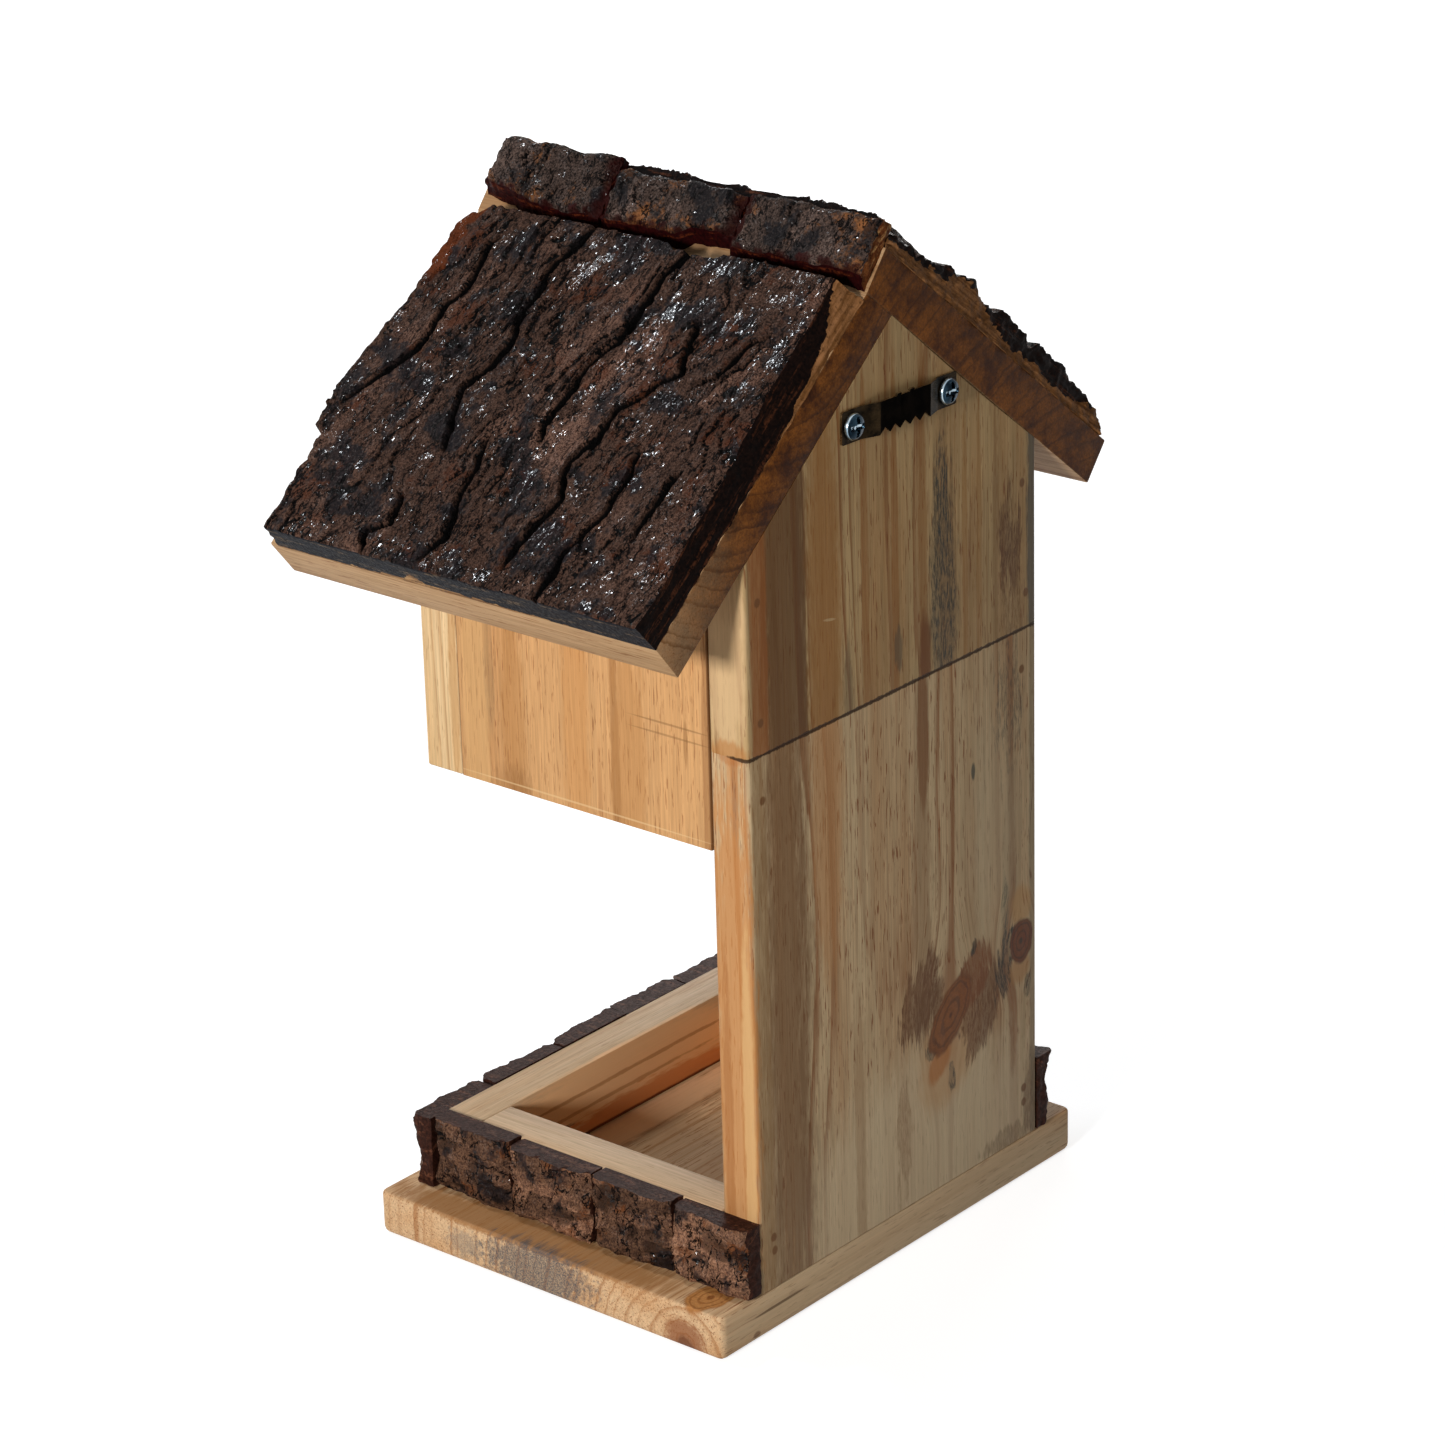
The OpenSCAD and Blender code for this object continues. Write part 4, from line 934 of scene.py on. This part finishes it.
for vert in bm.verts:
    spot = stations[round((vert.co.x + 0.5) * (len(stations) - 1))]
    edge = strip_tall / 2 if vert.co.y > 0 else along_line(tooth_points, spot)
    if abs(spot) > corner_from:
        edge *= corner_taper
    off = rise * (1 - eased_step(abs(spot), raised_half, ramp_end))
    vert.co = (spot, off, edge)
nibs = [edge for edge in bm.edges if all(v.co.z > strip_tall / 2 - 0.1 for v in edge.verts)
        and nib_from < abs((edge.verts[0].co.x + edge.verts[1].co.x) / 2) < nib_to]
drawn = bmesh.ops.extrude_edge_only(bm, edges=nibs)["geom"]
bmesh.ops.translate(bm, vec=(0, nib_lean, nib_tall),
                    verts=[item for item in drawn if isinstance(item, bmesh.types.BMVert)])
bmesh.ops.recalc_face_normals(bm, faces=bm.faces)
if sum(face.normal.y for face in bm.faces) < 0:
    bmesh.ops.reverse_faces(bm, faces=bm.faces)
for face in bm.faces:
    face.material_index = 1 if abs(face.calc_center_median().x) < raised_half else 0
bmesh.ops.solidify(bm, geom=bm.faces[:], thickness=-strip_t)
ease(bm, 0.12, lambda mid, run: True, 1)
# The thin edges of the strip get a pale steel: painted glints.
for face in bm.faces:
    if abs(face.normal.y) < 0.5:
        face.material_index = 2
hanger_place = (Matrix.Translation((hanger_aside, back_face, APEX - hanger_drop))
                @ Matrix.Rotation(math.radians(hanger_tilt), 4, "Y"))
bmesh.ops.transform(bm, matrix=hanger_place, verts=bm.verts)


def metal(name, colour, tarnish_and_glint, rough, bright=1.0):
    """Plated steel with a faint cloudy tarnish and fine scratches; a black oxide coat is not bright."""
    made, shader, in_mm = new_finish(name)
    cloud = speckle(in_mm, (0.25, 0.25, 0.25), 4.0, 0.6)
    tarnish = tinted(between(cloud, 0.35, 0.65), paint(colour), paint(tarnish_and_glint))
    scratch = speckle(in_mm, (0.3, 3.0, 3.0), 3.0, 0.6)
    dull = between(scratch, 0.3, 0.7, rough * 0.75, rough * 1.3)
    finished(shader, tarnish, dull, scratch, 0.1, 0.0002, 0.06 * bright)
    shader["Metallic"].default_value = bright
    return made


hanger = piece_of(bm, "toothed_hanger", [metal("plated steel", "0f0b07", "35291a", 0.25, 0.2),
                                         metal("blackened steel", "0d0b0a", "16120f", 0.4, 0.0),
                                         metal("steel edge with painted glints", "54462f", "9a8765", 0.3)])
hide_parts("sawtooth_hanger")

# Hanger screws: two zinc-plated pan-head wood screws with a cross recess, driven through the hanger's ends.
# The cross recess is pressed into the closely spaced rings of the head's top.
shank_outline = [(0, -12), (0.35, -12), (1.75, -8.5), (1.75, 0), (3.8, 0), (4.0, 0.25), (4.0, 0.75), (3.75, 1.35),
                 (3.4, 1.72)]
crown_outline = [(3.2 - 0.2 * k, 2.5 - 0.06 * (3.2 - 0.2 * k) ** 2) for k in range(16)]
head_outline = shank_outline + crown_outline + [(0, 2.5)]
slot_half, slot_reach, slot_deep = 0.7, 2.8, 1.4
crown_from, glint_from = 1.6, 3.86
screw_spread, screw_turn = 21.9, 12
screw_zinc = metal("blue zinc", "0d171f", "263946", 0.18)
screw_glint = metal("zinc with painted glints", "8398a6", "b9cad4", 0.2)
screws = bmesh.new()
for side in (-1, 1):
    one = bmesh.new()
    rim = [one.verts.new((radius, height, 0)) for radius, height in head_outline]
    lines = [one.edges.new(pair) for pair in zip(rim, rim[1:])]
    bmesh.ops.spin(one, geom=rim + lines, cent=(0, 0, 0), axis=(0, 1, 0), dvec=(0, 0, 0),
                   angle=math.tau, steps=96, use_merge=True)
    bmesh.ops.remove_doubles(one, verts=one.verts, dist=0.001)
    bmesh.ops.rotate(one, cent=(0, 0, 0), verts=one.verts,
                     matrix=Matrix.Rotation(math.radians(screw_turn * side), 3, "Y"))
    for vert in one.verts:
        arm, across = max(abs(vert.co.x), abs(vert.co.z)), min(abs(vert.co.x), abs(vert.co.z))
        if vert.co.y > crown_from and across < slot_half and arm < slot_reach:
            vert.co.y -= slot_deep * (1 - 0.75 * arm / slot_reach) + 0.25
    # The outer rim and the cross recess of each head get a pale zinc: painted glints.
    for face in one.faces:
        mid = face.calc_center_median()
        from_axis = math.hypot(mid.x, mid.z)
        in_cross = min(abs(mid.x), abs(mid.z)) < slot_half / 2 and from_axis < slot_reach
        if mid.y > 0.3 and (from_axis > glint_from or in_cross):
            face.material_index = 1
    bmesh.ops.recalc_face_normals(one, faces=one.faces)
    screw_place = hanger_place @ Matrix.Translation((side * screw_spread, strip_t, 0))
    bmesh.ops.transform(one, matrix=screw_place, verts=one.verts)
    copy = bpy.data.meshes.new("screw")
    one.to_mesh(copy)
    one.free()
    screws.from_mesh(copy)
    bpy.data.meshes.remove(copy)
screw_pair = piece_of(screws, "hanger_screw_pair", [screw_zinc, screw_glint])
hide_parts("hanger_screws")

# Pins and nails: thin steel panel pins, punched below the surface, and brown filler over their heads.
pin_steel = metal("pin steel", "8a8781", "6a655d", 0.35)
for solid in ("back_pins", "front_pins", "tray_pins", "base_nails", "roof_nails"):
    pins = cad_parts[solid]
    pins.data.materials.clear()
    pins.data.materials.append(pin_steel)

# Studio: a pale floor, a white surround, one key lamp low at the right and soft lamps overhead and at the left.
floor_mesh = bmesh.new()
bmesh.ops.create_grid(floor_mesh, x_segments=1, y_segments=1, size=6)
floor_data = bpy.data.meshes.new("floor")
floor_mesh.to_mesh(floor_data)
floor_mesh.free()
floor = bpy.data.objects.new("floor", floor_data)
bpy.context.scene.collection.objects.link(floor)
floor_finish = bpy.data.materials.new("pale floor")
floor_finish.use_nodes = True
bench["tree"] = floor_finish.node_tree
bench["tree"].nodes.clear()


def seen():
    """1 for the camera's rays and for those that metal or glass passes on, 0 for the rays that carry light."""
    rays = node("LightPath").outputs
    plain = math_of("MAXIMUM", rays["Is Camera Ray"], rays["Is Glossy Ray"])
    return math_of("MAXIMUM", plain, rays["Is Transmission Ray"])


matt = node("BsdfDiffuse", {"Color": (0.55, 0.55, 0.55, 1)}).outputs[0]
reach = length_of(node("TexCoord").outputs["Object"])
level = times(seen(), between(reach, 0.6, 3.0, 0.76, 1.0))
glow = node("Emission", {"Color": (1, 1, 1, 1), "Strength": level}).outputs[0]
node("OutputMaterial", {"Surface": node("AddShader", {0: matt, 1: glow}).outputs[0]})
floor_data.materials.append(floor_finish)

world = bpy.data.worlds.new("white surround")
bpy.context.scene.world = world
world.use_nodes = True
bench["tree"] = world.node_tree
bench["tree"].nodes.clear()
level = between(seen(), 0.0, 1.0, 0.12, 1.0)
sky = node("Background", {"Color": (1, 1, 1, 1), "Strength": level}).outputs[0]
node("OutputWorld", {"Surface": sky})


def lamp(name, towards, distance, size, level, colour):
    """Square soft lamp that lights a facing white surface to about this level."""
    data = bpy.data.lights.new(name, "AREA")
    data.size = size
    data.energy = level * math.pi ** 2 * distance ** 2
    data.color = colour
    holder = bpy.data.objects.new(name, data)
    way = Vector(towards).normalized()
    holder.location = Vector((0, 0, 0.16)) + way * distance
    holder.rotation_mode = "QUATERNION"
    holder.rotation_quaternion = way.to_track_quat("Z", "Y")
    holder.visible_camera = False
    bpy.context.scene.collection.objects.link(holder)


lamp("key lamp", (1, 0.18, 0.27), 2.0, 0.34, 0.86, (1.0, 0.98, 0.96))
lamp("overhead lamp", (0.12, -0.6, 0.78), 1.6, 0.22, 0.37, (0.88, 0.94, 1.0))
lamp("fill lamp", (-0.9, -0.55, 0.26), 1.8, 0.9, 0.3, (1.0, 0.98, 0.96))
lamp("low card", (0.1, 1, -0.2), 0.42, 0.14, 0.06, (0.9, 0.96, 1.0))

# Camera: a long lens at the photograph's angle, slightly turned, with the framing set by its shift.
lens = bpy.data.cameras.new("camera")
lens.lens = 123.32
lens.sensor_width = 36
lens.shift_x = 0.0298
lens.shift_y = 0.0482
camera = bpy.data.objects.new("camera", lens)
eye = Vector((1.0522, 0.8905, 0.7130))
aim = Vector((0.01661, -0.00172, 0.140))
turn = (aim - eye).to_track_quat("-Z", "Y").to_matrix().to_4x4() @ Matrix.Rotation(math.radians(-1.794), 4, "Z")
camera.matrix_world = Matrix.Translation(eye) @ turn
bpy.context.scene.collection.objects.link(camera)
bpy.context.scene.camera = camera
bpy.context.scene.view_settings.view_transform = "Standard"
